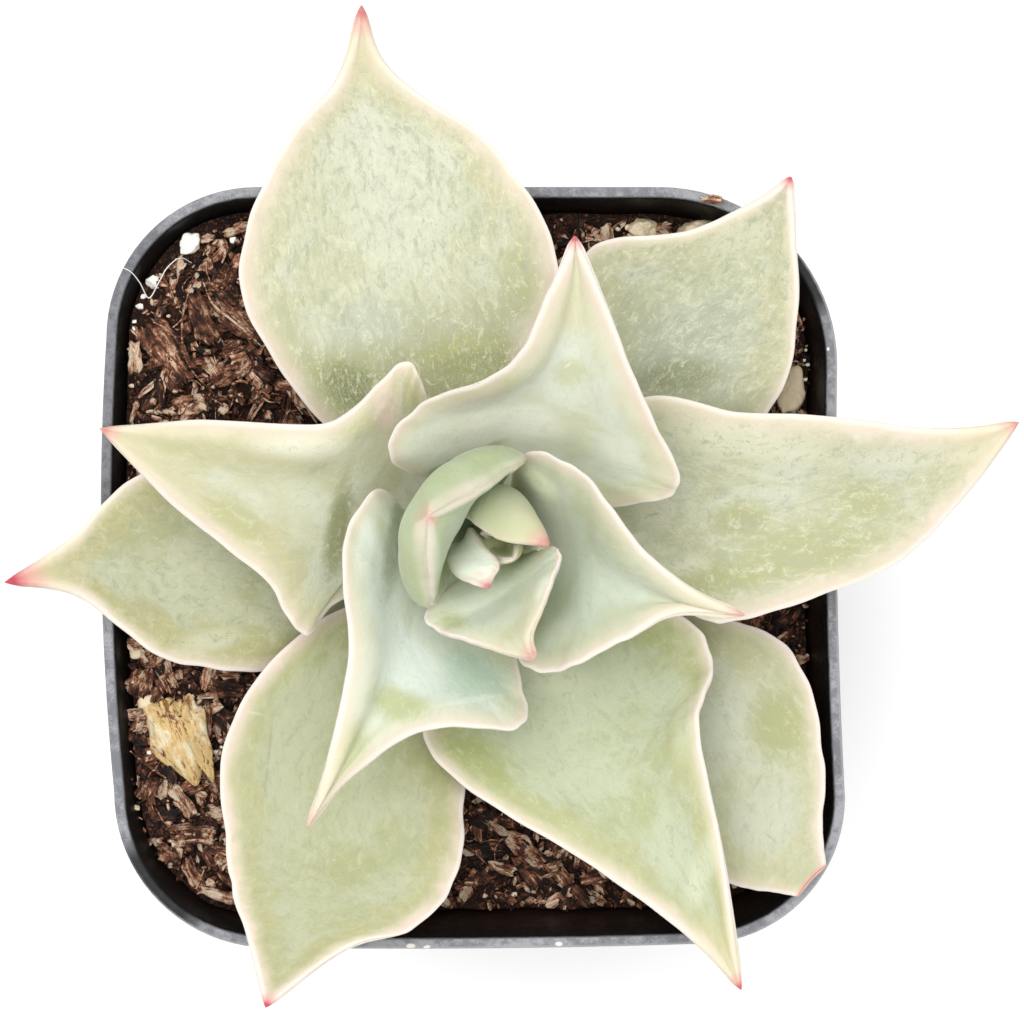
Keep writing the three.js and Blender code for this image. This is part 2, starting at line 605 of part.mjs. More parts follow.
// An uneven pebble, grown all round by an amount.
function stoneGeometry({ x, y, size }, extra) {
  const geometry = new THREE.IcosahedronGeometry(1, STONE_DETAIL);
  const position = geometry.attributes.position;
  for (let i = 0; i < position.count; i++) {
    const way = new THREE.Vector3().fromBufferAttribute(position, i);
    const broad = STONE_LUMPS[0] * Math.sin(5 * way.x + x) * Math.cos(4 * way.y + y);
    const small = STONE_LUMPS[1] * Math.sin(7 * way.z + x);
    const reach = way.toArray().map((v, axis) => v * (size[axis] * (1 + broad + small) + extra));
    position.setXYZ(i, ...reach);
  }
  return geometry.translate(x, y, soilHeight(x, y) + STONE_LIFT);
}

function flakeGeometry() {
  const rows = FLAKE.rows.map((row) => row.map(([x, y, lift]) => [x, y, soilHeight(x, y) + lift]));
  return leafGeometry({ ...FLAKE, rows }, BUD_ROWS);
}

function splinterGeometry({ x, y, length, width, turn }, index) {
  return slab(length, width, SPLINTER_THICKNESS, randomFrom(index + 1))
    .rotateZ(THREE.MathUtils.degToRad(turn))
    .translate(x, y, soilHeight(x, y) + SPLINTER_LIFT + SPLINTER_THICKNESS / 2);
}

const part = new THREE.Group();
function add(name, geometry, colour, roughness) {
  const material = new THREE.MeshStandardMaterial({ color: colour, roughness, metalness: 0 });
  const mesh = new THREE.Mesh(geometry, material);
  mesh.name = name;
  part.add(mesh);
}

const stemRoom = toSolid(stemGeometry(CLEARANCE));
const stem = BUD_LEAVES.reduce(
  (solid, leaf) => solid.add(toSolid(leafGeometry(leaf, BUD_ROWS))),
  toSolid(stemGeometry(0)),
);
const soil = STONES.reduce(
  (solid, stone) => solid.subtract(toSolid(stoneGeometry(stone, CLEARANCE))),
  chipSolids().reduce((solid, chip) => solid.add(chip), toSolid(soilGeometry())).subtract(stemRoom),
);

add("pot", toGeometry(potSolid()), COLOURS.pot, 0.5);
add("soil", toGeometry(mainBody(soil)), COLOURS.soil, 0.95);
add("stem", toGeometry(stem), COLOURS.stem, 0.7);
for (const leaf of LEAVES) {
  const solid = toSolid(leafGeometry(leaf, LEAF_ROWS)).subtract(stemRoom);
  add(leaf.name, toGeometry(solid), COLOURS.leaf, 0.55);
}
for (const stone of STONES) add(stone.name, stoneGeometry(stone, 0), COLOURS[stone.colour], 0.95);
SPLINTERS.forEach((splinter, i) => add(splinter.name, splinterGeometry(splinter, i), COLOURS.chip, 0.9));
add("bark_flake", flakeGeometry(), COLOURS.flake, 0.8);

export default part;
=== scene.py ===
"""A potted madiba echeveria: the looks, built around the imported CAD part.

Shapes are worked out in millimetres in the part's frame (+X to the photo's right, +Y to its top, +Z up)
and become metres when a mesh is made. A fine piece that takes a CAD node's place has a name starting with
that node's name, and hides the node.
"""

import math

import bmesh
import bpy
import numpy as np
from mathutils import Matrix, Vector, noise
from mathutils.bvhtree import BVHTree


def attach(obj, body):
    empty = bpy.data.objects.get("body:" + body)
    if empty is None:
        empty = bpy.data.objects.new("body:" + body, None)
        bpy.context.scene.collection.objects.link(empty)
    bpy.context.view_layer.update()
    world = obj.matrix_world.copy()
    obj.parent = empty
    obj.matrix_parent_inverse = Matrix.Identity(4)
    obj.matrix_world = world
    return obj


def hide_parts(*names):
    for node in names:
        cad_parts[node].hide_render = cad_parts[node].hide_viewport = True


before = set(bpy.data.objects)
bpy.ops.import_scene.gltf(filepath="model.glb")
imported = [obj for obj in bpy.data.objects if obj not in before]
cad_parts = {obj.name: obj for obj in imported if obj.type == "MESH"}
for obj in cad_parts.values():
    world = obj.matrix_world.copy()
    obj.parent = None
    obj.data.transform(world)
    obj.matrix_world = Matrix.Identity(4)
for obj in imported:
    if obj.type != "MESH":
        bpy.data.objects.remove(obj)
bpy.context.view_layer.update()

MM = 0.001

# The photograph: its centre looks straight down from above the rim.
PHOTO_WIDTH = 1024
PHOTO_CENTRE = (512, 507)  # pixels
PIXEL = 0.077  # mm at the height of the rim
CAMERA_X = 3.0
CAMERA_Y = 4.6
CAMERA_ABOVE_RIM = 280.0
SENSOR = 36.0

# Light
LIGHT_LEVEL = 1.34  # how bright a level white surface looks
WORLD_LIGHT = 0.75
LAMPS = {"key": ((-0.35, 0.4, 1.2), 0.9, 8.0), "fill": ((0.1, -0.12, 1.3), 1.1, 9.0)}  # place, width, watts
FLOOR_HALF = 1500  # mm

# Pot. The rim's corners before rounding, anticlockwise from the north-east: x, y, the radius and the bulge of
# the wall that follows.
RIM_CORNERS = [
    (28.1, 29.3, 13.7, 0),
    (-28.3, 29.3, 11.6, 0.7),
    (-27.7, -29.4, 12, 0.2),
    (28.7, -29.1, 11.3, -0.3),
]
CORNER_STEPS = 20
WALL_STEPS = 24
POT_HEIGHT = 56.0
POT_WALL = 0.65
POT_FLOOR = 1.2
FOOT_SCALE = 0.74
FOOT_ROUND = 0.8
LIP_HEIGHT = 4.5
LIP_STEP = 0.3
LIP_ROUND = 0.3
DRAIN_RADIUS = 2.4
DRAIN_OFFSET = 13.0
DRAIN_DEPTH = 5.0  # of the cutter, half of it below the floor

# Bark mix and stem
CLEARANCE = 0.3
SOIL_LEVEL = 49.5
WEST_BANK = 3.9
NORTH_BANK = 2.4
SOUTH_DIP = 0.8
BANK_REACH = 27.0
BROAD_HEAPS = 0.35
SMALL_HEAPS = 0.2
SOIL_LUMPS = 0.5  # how high the lumps and crumbs on top of the heaps are, and how wide
SOIL_CRUMBS = 0.25
LUMP_SIZE = 2.4
CRUMB_SIZE = 0.7
SOIL_RINGS = 84
SOIL_EDGE_STEPS = 3  # points between those of the pot's own outline
INSIDE = {"half": (26.7, 27.2), "middle": (-0.3, 0.0), "corner": 11.2}  # the room within the walls
AXIS = (1.7, 1.7)
STEM_RADIUS = 3.3
STEM_PROFILE = [
    # radius and height, from the end of the root to the growing point
    (0.7, 24),
    (1.4, 31),
    (2.3, 39),
    (STEM_RADIUS, 46),
    (STEM_RADIUS, 60),
    (2.6, 62),
    (1.9, 64),
    (1.4, 65.5),
]
STEM_TOP = 66.5
ROOT_HOLE = [(3.6, 45), (1.7, 31), (1, 23.7)]  # radius and height, going down
ROOT_HOLE_END = 23.6

# The chips that the CAD mix carries, placed by the same seeded rule
CHIP_COUNT = 66
CHIP_SEED = 7
CHIP_LENGTH = (2, 5.2)
CHIP_WIDTH = (1, 2.2)
CHIP_THICKNESS = 1.1
CHIP_TILT = 0.3
CHIP_LIFT = 0.1
CHIP_SPREAD = 24.5
CHIP_CORNER = (15, 9)
CHIP_TO_STEM = 9
CHIP_TO_LOOSE = 3.4
FLAKE_PLACE = (-22.8, -13.6)

# Litter on the mix
SLIVERS = 1900
SLIVER_LENGTH = (1.1, 3.4)
SLIVER_WIDTH = (0.18, 0.55)  # of its length
SLIVER_THICKNESS = (0.25, 0.5)
FINES = 8000
FINE_WIDTH = (0.25, 0.9)  # of its length
FINE_THICKNESS = (0.12, 0.4)
LITTER_SEEDS = {"bark_slivers": 23, "bark_fines": 11}
MIX_REACH = 27  # mm, from the middle to beyond the walls
STEM_ROOM = 5  # mm round the stem's middle that hold no litter
FIBRES = 950
FIBRE_SEED = 5
FIBRE_SPREAD = 25
FIBRE_LENGTH = (1.2, 4.5)
FIBRE_RADIUS = (0.025, 0.07)
FIBRE_LIFT = (0.2, 0.9)
FIBRE_POINTS = 5
FIBRE_BEND = 0.45  # radians from point to point

# Bark that the photo shows: middle, length and width in pixels, turn in degrees anticlockwise from the
# right, and tone from 0, black, to 1, pale.
BARK_PIECES = {
    "tan_chip": (199, 229, 16, 8, 8, 0.95),
    "pink_chip": (232, 223, 32, 9, 12, 0.84),
    "pink_chip_above": (246, 213, 24, 8, 5, 0.86),
    "great_slab": (160, 352, 72, 40, -52, 0.52),
    "upright_slab": (203, 318, 56, 24, -62, 0.44),
    "long_wedge": (236, 316, 78, 26, -47, 0.46),
    "wedge_top": (226, 290, 36, 22, -30, 0.42),
    "round_chip": (227, 277, 24, 18, 60, 0.5),
    "ridge_chip": (232, 350, 24, 14, 20, 0.56),
    "small_wedge": (245, 366, 24, 12, 60, 0.64),
    "dark_flat": (262, 372, 34, 12, -35, 0.3),
    "leaf_edge_twig": (306, 405, 44, 12, -50, 0.82),
    "corner_twig": (124, 410, 26, 6, 78, 0.75),
    "red_bundle": (122, 628, 36, 24, -50, 0.8),
    "red_chip": (134, 640, 26, 14, 10, 0.72),
    "purple_chip": (132, 684, 36, 24, 84, 0.52),
    "bark_strip": (155, 672, 52, 15, -62, 0.66),
    "tan_strip": (170, 672, 34, 10, -68, 0.88),
    "pink_strip": (136, 716, 42, 11, 56, 0.76),
    "red_crossbar": (208, 696, 22, 7, 4, 0.8),
    "brown_twig": (209, 722, 42, 7, 88, 0.52),
    "curled_chip": (141, 792, 30, 24, 60, 0.5),
    "tan_chip_low": (162, 789, 20, 13, 70, 0.9),
    "torn_pink": (182, 800, 40, 16, -62, 0.82),
    "red_flat": (192, 836, 46, 22, 6, 0.64),
    "round_dark": (162, 860, 24, 20, 0, 0.42),
    "pale_end": (177, 852, 16, 12, -60, 0.72),
    "low_pair": (176, 892, 36, 14, -62, 0.66),
    "orange_chip": (215, 902, 40, 12, -12, 0.9),
    "fibrous_bundle": (527, 850, 50, 20, -32, 0.66),
    "curved_chip": (501, 868, 28, 12, -22, 0.62),
    "tan_pair": (588, 899, 15, 9, 10, 0.92),
    "tan_pair_right": (600, 901, 13, 9, -20, 0.9),
    "east_crumb": (758, 901, 14, 10, 20, 0.86),
    "tan_wedge": (655, 227, 42, 15, 17, 0.92),
}
BARK_THICKNESS = 0.9
BARK_LIFT = 0.6  # of a piece's middle above the mix
# painted light and shade on each bark piece: raised ridges paler, low parts darker
RIDGE_PAINTED_LIGHT = 0.25  # how much paler a piece's ridges are

# Threads on the mix: tone, radius in mm, and points (pixel across, pixel down, height above the mix)
THREADS = {
    "brown_root": (0.72, 0.075, [
        (196, 268, 0.5), (187, 298, 1), (182, 323, 1.3), (184, 352, 1.7), (194, 373, 1.5), (215, 395, 0.6),
    ]),
    "yellow_root": (0.95, 0.1, [
        (202, 279, 0.5), (213, 304, 1), (232, 320, 1.5), (248, 333, 1.5), (262, 347, 0.7),
    ]),
    "pale_fibre": (0.95, 0.06, [(153, 322, 1.4), (165, 328, 1.8), (176, 338, 1.4)]),
    "upper_curl": (0.9, 0.11, [(224, 242, 0.7), (225, 254, 0.9), (222, 263, 0.7)]),
    "lower_curl": (0.85, 0.12, [(232, 384, 0.7), (240, 381, 1), (248, 383, 0.7)]),
    "thin_curl": (0.9, 0.05, [(262, 397, 0.6), (270, 402, 0.8), (281, 402, 0.7)]),
    "flake_stalk": (0.7, 0.12, [(130, 751, 0.6), (146, 764, 0.9), (166, 778, 0.7)]),
    "low_fibre": (0.9, 0.07, [(196, 889, 0.6), (200, 880, 0.9), (204, 870, 0.7)]),
    "white_sliver": (0.98, 0.07, [(791, 363, 0.9), (796, 361, 1.1), (802, 365, 0.9)]),
}
# A white hair that hangs over the rim: pixels and heights
RIM_HAIR = [(119, 266, 56.3), (131, 272, 56.3), (140, 283, 55.6), (149, 298, 54.6), (159, 282, 55.2),
            (167, 268, 55.6), (180, 258, 55.2), (192, 263, 54.3)]
HAIR_RADIUS = 0.05

# White and cream crumbs: pixel across, pixel down and size in mm
CRUMBS = {
    "perlite": [
        (234, 241, 0.5), (131, 286, 0.4), (137, 304, 0.5), (120, 324, 0.35), (127, 317, 0.3),
        (233, 920, 0.35), (216, 752, 0.4), (222, 747, 0.25), (115, 714, 0.35), (150, 752, 0.3),
        (782, 806, 0.3), (776, 912, 0.3), (811, 348, 0.25), (809, 358, 0.3), (807, 365, 0.3),
        (810, 378, 0.3),
    ],
    "pumice": [
        (127, 654, 0.9), (147, 701, 1.1), (116, 384, 0.35), (129, 812, 0.45), (514, 894, 0.4),
        (742, 896, 0.35), (770, 890, 0.3), (618, 230, 0.35), (628, 228, 0.5), (631, 236, 0.5),
    ],
}

# Leaves, oldest first. Each row of points runs across the blade, (rib, left edge, right edge) as seen from
# the stem, and the rows run from the stem to the tip. roll is how far the left and right halves stand
# proud of the straight way to each edge, and plump how much fatter a young leaf is towards its tip. A
# pointed tip is one point, three times.
LEAVES = {
    "leaf_01_southeast_low": {"thickness": 2.2, "blunt": True, "roll": (0.2, 0.2), "rows": [
        [(4, -0.8, 51.5), (5.8, 1.2, 51.5), (2.2, -2.8, 51.5)],
        [(11.8, -8.8, 53.5), (17.1, -3.1, 54.8), (6.7, -13.5, 53.5)],
        [(17.5, -13.8, 55), (24.7, -6.6, 56.8), (12.1, -20.3, 55.2)],
        [(22.4, -18.3, 56.4), (26.8, -14.6, 57.6), (19, -24.1, 56.7)],
        [(24.7, -21.7, 57), (26.8, -20.5, 57.6), (22.8, -24.9, 57.1)],
        [(26, -24, 57.1), (27.1, -23, 57.3), (25, -25.3, 57.2)],
    ]},
    "leaf_02_west_low": {"thickness": 2.3, "roll": (0.3, 0.3), "rows": [
        [(-1.8, 1.5, 51.8), (-1.6, -1.1, 51.8), (-1.9, 4.2, 51.8)],
        [(-9.6, 1, 53.7), (-9.5, -5.7, 54), (-10.3, 7.5, 55)],
        [(-16.2, 0.5, 55.8), (-16, -8, 56.7), (-17.8, 9, 57.5)],
        [(-24.3, 0, 57.8), (-23.5, -6.9, 58.8), (-25.1, 7.3, 59)],
        [(-30.2, -0.2, 59.5), (-29.9, -2.2, 60), (-30.6, 2.2, 60)],
        [(-35.4, -1.1, 61)] * 3,
    ]},
    "leaf_03_northeast_low": {"thickness": 2.3, "roll": (0.3, 0.3), "rows": [
        [(3.8, 4.4, 52.1), (2.3, 6.3, 52), (5.6, 2.3, 52.3)],
        [(11, 12.1, 54.3), (6, 17.3, 54.4), (16, 6.7, 55)],
        [(15.9, 18.2, 56.3), (9, 24.3, 57.2), (22.9, 11.9, 57.5)],
        [(20.8, 22.7, 58.3), (16.6, 25.7, 59.5), (24.7, 19.6, 59.5)],
        [(23, 26.9, 59.6), (21.3, 27.7, 60.3), (24.4, 26, 60.3)],
        [(24.1, 29.6, 61)] * 3,
    ]},
    "leaf_04_southwest_low": {"thickness": 2.4, "roll": (0.3, 0.3), "rows": [
        [(0.1, -1.5, 53.8), (2.3, -2.5, 53.6), (-2.3, -0.5, 54.1)],
        [(-6, -8.7, 56.1), (0.2, -11.8, 56.2), (-12.8, -4.7, 58)],
        [(-9.4, -15.2, 57.8), (-0.6, -17.8, 58.5), (-18.4, -12, 59.6)],
        [(-10.9, -22.3, 59), (-1.3, -23.7, 60), (-18.8, -20.6, 60.5)],
        [(-12.1, -25.6, 60), (-4.3, -27.2, 60.9), (-18.1, -24.3, 61.2)],
        [(-13.6, -28.9, 61), (-9.6, -28.8, 61.5), (-17, -27.8, 61.7)],
        [(-15.5, -33, 63)] * 3,
    ]},
    "leaf_05_north_low": {"thickness": 2.5, "roll": (0.3, 0.3), "rows": [
        [(0.9, 5, 54.2), (-1.6, 4.4, 53.9), (3.5, 5.6, 54.5)],
        [(-2.5, 13.2, 56.4), (-11.7, 11.3, 58), (4, 15.8, 58.4)],
        [(-5.2, 22, 58.1), (-17.5, 21, 60.5), (6.5, 23.5, 60.7)],
        [(-7, 31.3, 59.8), (-14.7, 31.2, 61.8), (1.7, 31.5, 61.8)],
        [(-8.3, 37.2, 61), (-10.2, 36.8, 61.8), (-6.1, 37.5, 61.8)],
        [(-8.3, 42.3, 63)] * 3,
    ]},
    "leaf_06_south": {"thickness": 2.5, "roll": (0.4, 0.4), "rows": [
        [(3.3, -1.3, 55.3), (5.6, -0.3, 55.1), (1.3, -2.6, 55.5)],
        [(6.7, -7.1, 57.7), (15.4, -3.4, 59.5), (-3.6, -10.5, 59.2)],
        [(9.7, -13.1, 59.5), (18.2, -7.2, 61.5), (-1.5, -15.9, 61.2)],
        [(13, -18.1, 61.5), (17, -11.8, 63), (8.4, -21.9, 62.8)],
        [(17.7, -25.4, 63.5), (18.7, -21, 64.3), (16.5, -27.8, 64.3)],
        [(20.1, -31.4, 65)] * 3,
    ]},
    "leaf_07_east": {"thickness": 2.5, "roll": (0.4, 0.4), "rows": [
        [(5, 2.5, 56), (4.6, 5.2, 56), (5.5, 0, 56)],
        [(13.5, 4.4, 59), (12.2, 12.5, 62), (15.7, -3.4, 60.6)],
        [(20.2, 4.8, 61), (20.1, 11.8, 63.8), (20.5, -3.8, 62.5)],
        [(29.2, 5.6, 63), (28.4, 11.1, 65), (30.7, -0.2, 64)],
        [(36, 8, 65), (35.5, 10.4, 66), (36.5, 5.2, 65.5)],
        [(40.6, 10.9, 66.5)] * 3,
    ]},
    "leaf_08_west": {"thickness": 2.5, "roll": (0.6, 0.9), "rows": [
        [(-1.6, 2.7, 56), (-0.9, 0.2, 56), (-2.3, 5.2, 56)],
        [(-5.9, 4.8, 59), (-9.7, -2.3, 60.7), (-3.3, 12.6, 65)],
        [(-9.6, 5.1, 61.5), (-12.7, -5, 62.7), (-5, 15.2, 67.5)],
        [(-14, 5.9, 63.5), (-15.7, -0.6, 64.5), (-10.5, 11, 66.5)],
        [(-21.3, 7.8, 66), (-22, 4.6, 66.5), (-20.1, 11, 67)],
        [(-27.4, 10.4, 68)] * 3,
    ]},
    "leaf_09_southwest": {"thickness": 2.4, "roll": (0.5, 0.8), "rows": [
        [(-0.2, -1.2, 58), (1.9, -2.5, 58), (-2.4, 0.3, 58)],
        [(-2.4, -3.6, 61.5), (3.7, -8.4, 63.5), (-6.6, 5.9, 67)],
        [(-4.2, -6.1, 64.5), (3.6, -11.7, 66.5), (-9.2, 2.2, 69.5)],
        [(-6.2, -8.9, 67), (-3.4, -11.8, 68.5), (-9, -6.2, 70)],
        [(-9, -13.6, 69.8), (-8.8, -15.2, 70.5), (-10.3, -13.3, 71)],
        [(-11.9, -18.7, 72)] * 3,
    ]},
    "leaf_10_north": {"thickness": 2.4, "roll": (0.8, 0.5), "rows": [
        [(2.5, 5, 58.5), (0.2, 5.6, 58.5), (4.9, 4.4, 58.5)],
        [(3.8, 8.9, 62.5), (-6, 8.1, 69), (12.5, 4.8, 66)],
        [(4.9, 11.8, 66), (-3.7, 11.9, 71.5), (15.3, 6.7, 69)],
        [(6.7, 15.4, 69.5), (2.9, 14.9, 73), (12.3, 12.9, 72)],
        [(7.6, 19.9, 73), (5.7, 20.2, 74.8), (9.7, 19.3, 74.3)],
        [(7.5, 24, 76)] * 3,
    ]},
    "leaf_11_east": {"thickness": 2.2, "roll": (0.6, 0.4), "rows": [
        [(4.8, 0.9, 60), (2.6, 5, 60.5), (5.4, -1.6, 60)],
        [(7.3, 0.1, 64.5), (3.9, 8.5, 71.5), (3.4, -6.6, 67.5)],
        [(9.1, -0.4, 67.5), (8.1, 7.1, 73.5), (6.5, -7.3, 69.5)],
        [(11.6, -1.3, 70), (11.9, 2.1, 74), (11, -5.2, 71.8)],
        [(15.2, -2.3, 72.5), (15.8, -1.2, 74), (14.8, -3.1, 73.2)],
        [(19.8, -3.2, 74)] * 3,
    ]},
    "leaf_12_south_cup": {"thickness": 1.9, "roll": (0.2, 0.2), "rows": [
        [(2.3, 0.1, 63.5), (4.4, 1, 63.5), (-0.1, 0, 63.5)],
        [(2.4, -1.2, 66.3), (5.8, 1.8, 71), (-3.3, -2.9, 69)],
        [(2.6, -2.6, 67.5), (6.4, 0.8, 72.5), (-2.3, -4.5, 70)],
        [(3, -3.8, 70), (5.4, -2.1, 73), (0.7, -5.4, 71.5)],
        [(3.7, -5.2, 73), (4.3, -4.6, 74), (3, -6.1, 73.5)],
        [(4.6, -6.3, 75)] * 3,
    ]},
    "leaf_13_west_cup": {"thickness": 1.8, "plump": 2.6, "roll": (0, -0.6), "rows": [
        [(-0.4, 2.7, 62.5), (-0.8, 1.5, 62.5), (0.4, 3.6, 62.5)],
        [(-2.1, 3.2, 66), (-2.1, -1.7, 68), (3.2, 7.6, 69)],
        [(-2.4, 3.6, 70), (-2.7, -2.5, 73), (3.9, 8, 74)],
        [(-2, 3.6, 73.3), (-2.9, -0.6, 75.5), (1.8, 6.5, 76)],
        [(-2.4, 3.7, 75.9), (-3, 1.9, 77), (-0.7, 5.1, 77)],
        [(-3, 3.9, 77.5)] * 3,
    ]},
    "leaf_14_east_cup": {"thickness": 1.3, "roll": (0, 0), "rows": [
        [(2.7, 2.5, 64), (1.8, 3.3, 64), (3.4, 1.5, 64)],
        [(2.6, 4.7, 67.4), (-0.5, 3.9, 69), (4.5, 1.4, 67.5)],
        [(2.7, 5.3, 70.3), (0.1, 3.5, 72), (4.9, 1.4, 70)],
        [(3.8, 3.9, 72.8), (2.1, 2.2, 73.8), (5.1, 1.5, 72.4)],
        [(4.8, 2.7, 74.2), (3.9, 1.9, 74.6), (5.3, 1.6, 74.2)],
        [(5.4, 1.8, 75)] * 3,
    ]},
    "leaf_15_south_bud": {"thickness": 1.1, "roll": (0, 0), "rows": [
        [(0.5, 1.8, 64.5), (1.1, 2, 64.5), (-0.1, 1.2, 64.5)],
        [(-0.5, 1.8, 67), (-0.1, 3.1, 68), (-1.6, 1.8, 67)],
        [(-0.8, 1.1, 69.5), (1, 1.8, 70.5), (-1.7, 0.6, 69.5)],
        [(-0.3, 0.2, 71.5), (2.1, 0.5, 72), (-0.9, -0.5, 71.5)],
        [(0.5, -0.7, 72.8), (1.7, -0.5, 72.8), (0.2, -0.9, 72.8)],
        [(1.3, -1.3, 73.5)] * 3,
    ]},
}

# The newest leaves, still one with the stem.
BUD_LEAVES = [
    {"thickness": 0.8, "roll": (0, 0), "rows": [
        [(1.9, 1.8, 63.5), (2.5, 2.3, 63.5), (1.3, 1.4, 63.5)],
        [(2.6, 1.5, 66), (2.9, 2.6, 66.5), (1.4, 1.4, 66.5)],
        [(3, 1.2, 68), (3.2, 2.5, 68.5), (1.5, 1.2, 68.5)],
        [(3.1, 1.1, 69.8), (3.3, 2.1, 70), (1.8, 0.9, 70)],
        [(3.1, 1, 71), (3.2, 1.7, 71), (2.3, 0.8, 71)],
        [(3.1, 0.9, 71.6)] * 3,
    ]},
    {"thickness": 0.7, "roll": (0, 0), "rows": [
        [(1.7, 2.2, 63.5), (1.2, 1.8, 63.5), (2.1, 2.5, 63.5)],
        [(1.6, 2.7, 66), (1.1, 2.3, 66.3), (2.4, 2.9, 66.3)],
        [(1.4, 2.8, 67.6), (1, 2.4, 67.8), (2.2, 3, 67.8)],
        [(1.3, 2.8, 69), (1, 2.5, 69.2), (2, 2.9, 69.2)],
        [(1.4, 2.7, 70), (1.2, 2.6, 70.1), (1.8, 2.7, 70.1)],
        [(1.6, 2.5, 70.6)] * 3,
    ]},
]

LEAF_ROWS = 100
LEAF_STATIONS = 39  # from margin to margin
CUP_POWER = 2.2
LAST_RING = 0.995
TIP_THICKNESS = 0.24
TIP_TAPER = 0.06  # the share of the leaf over which its thickness runs out to the point
ABOVE = 0.35
BELOW = 0.65
MARGIN_THICKNESS = 0.65  # mm
MARGIN_WAVE = 0.11  # mm, how uneven the margins of a broad leaf are
BROAD_LEAF = 18.0  # mm

# Loose pieces on the mix: middle, and half sizes or length and width
STONES = {
    "pumice_01_north": (13.1, 26.4, (1.2, 0.8, 1.4)),
    "pumice_02_northeast": (17.3, 26.15, (1.4, 0.9, 2.2)),
    "pumice_03_east": (24.8, 13.7, (1.25, 1.8, 1.6)),
    "perlite_01_northwest": (-22, 25, (0.75, 0.85, 0.7)),
    "perlite_02_northwest": (-24.9, 22.1, (0.5, 0.55, 0.5)),
}
STONE_LIFT = 0.2
PEBBLE_LUMPS = 0.13  # of a pebble's size
SPLINTERS = {
    "bark_chip_01_west": (-26.2, 16.2, 2.7, 1.1, 86),
    "bark_chip_02_south": (-2.6, -26.4, 1.7, 0.9, -20),
    "bark_chip_03_south": (-0.6, -25.9, 1.4, 1, 50),
    "bark_chip_04_south": (1.7, -20.6, 2.4, 0.7, -28),
}
SPLINTER_THICKNESS = 0.7
SPLINTER_LIFT = 0.5
SPLINTER_TONE = 0.93
# The flake's outline in pixels, clockwise, and its middle
FLAKE_OUTLINE = [
    (139, 706),
    (147, 704),
    (158, 702),
    (168, 698),
    (178, 703),
    (188, 694),
    (196, 706),
    (204, 711),
    (208, 735),
    (212, 750),
    (214, 783),
    (204, 768),
    (197, 786),
    (182, 777),
    (160, 762),
    (150, 752),
    (147, 730),
]
FLAKE_MIDDLE = (178, 738)
FLAKE_LIFT = 1.5  # of its middle above the mix
FLAKE_DROOP = 0.8  # how much lower its edge lies
FLAKE_THICKNESS = 0.3
FLAKE_CREASE = 0.6  # how deep its creases are, in mm
FLAKE_FOLD = 2.2  # how far apart they are
FLAKE_CURL = 0.12  # how much its edge rises and falls
FLAKE_TURN = -25  # degrees from the photograph's upright to the way they run


BRIGHTEST = 278  # what a shaded spot may be painted, so that it still looks pale


def paint(red, green, blue):
    """A colour as it looks in even white light, from 0 to 255, as the colour that makes it."""
    values = [min(max(c, 0), BRIGHTEST) / 255 for c in (red, green, blue)]
    return (*[(v / 12.92 if v <= 0.04 else ((v + 0.055) / 1.055) ** 2.4) / LIGHT_LEVEL for v in values], 1.0)


# What is added to a leaf's own colour, from 0 to 255, for its bloom, its sides and its marks;
# many of the marks are painted light and shade
POWDER = (6, 9, 16)
SIDE = (-3, -9, -26)
# olive: the leaf's own olive on its sides, and painted shade on many marks
OLIVE = (-26, -26, -58)
# the dark foot near the stem: olive, with painted shade on it
OLIVE_FOOT_AND_SHADE = (-42, -42, -62)
STROKE_TURN = 0.6  # radians from the leaf's length
LIGHT_SPECK = (13, 12, 10)
DARK_SPECK = (-22, -20, -22)
# painted light that brightens spots lying in shade, and also a few thin pale scratches
PAINTED_LIGHT_AND_SCRATCHES = (24, 22, 26)
# greyed: greyish bloom on leaf_05, and painted shade on leaf_03
GREYED = (-15, -11, -6)
# painted shade in creases and folds
CREASE_SHADE = (-36, -32, -34)
ROSY = (10, -8, 0)
BLUE_SHADE = (-34, -18, -22)
# painted deep shade, where leaves lie against and under their neighbours
PAINTED_DEEP_SHADE = (-72, -68, -92)
# stronger painted light, for spots that lie in deep shade
STRONG_PAINTED_LIGHT = (52, 50, 40)
PINK = (26, -14, -4)

# The same on every leaf
BEIGE = paint(240, 226, 205)
ROSE = paint(246, 218, 208)
CREAM = paint(253, 243, 233)
TIP_YELLOW = paint(230, 221, 178)
TIP_PINK = paint(236, 160, 156)
TIP_RED = paint(202, 66, 90)
SCAR = paint(240, 226, 190)

POT_BLACK = paint(20, 20, 22)
POT_DUSTY = paint(46, 45, 44)
RIM_DARK = paint(24, 25, 28)
RIM_GREY = paint(124, 125, 130)
RIM_SCUFF = paint(170, 171, 176)
# painted highlight along the rim's outer rounding
RIM_HIGHLIGHT = paint(186, 187, 190)
SOIL_DARK = paint(24, 16, 13)
SOIL_BROWN = paint(58, 37, 27)
SOIL_RED = paint(112, 72, 54)
BARK_BLACK = paint(22, 14, 12)
BARK_DARK = paint(58, 36, 27)
BARK_RED = paint(128, 78, 55)
BARK_BROWN = paint(178, 120, 88)
BARK_TAN = paint(226, 172, 136)
BARK_PALE = paint(246, 222, 194)
PUMICE_CREAM = paint(254, 238, 214)
PUMICE_TAN = paint(236, 204, 168)
PERLITE_WHITE = paint(234, 233, 222)
PERLITE_GREY = paint(192, 188, 178)
PORE_BROWN = paint(140, 112, 84)
FLAKE_GOLD = paint(240, 206, 142)
FLAKE_BROWN = paint(150, 98, 56)
FLAKE_PALE = paint(252, 238, 200)
FLOOR_WHITE = (0.98, 0.98, 0.98, 1.0)
FLOOR_GREY = (0.96, 0.96, 0.96, 1.0)
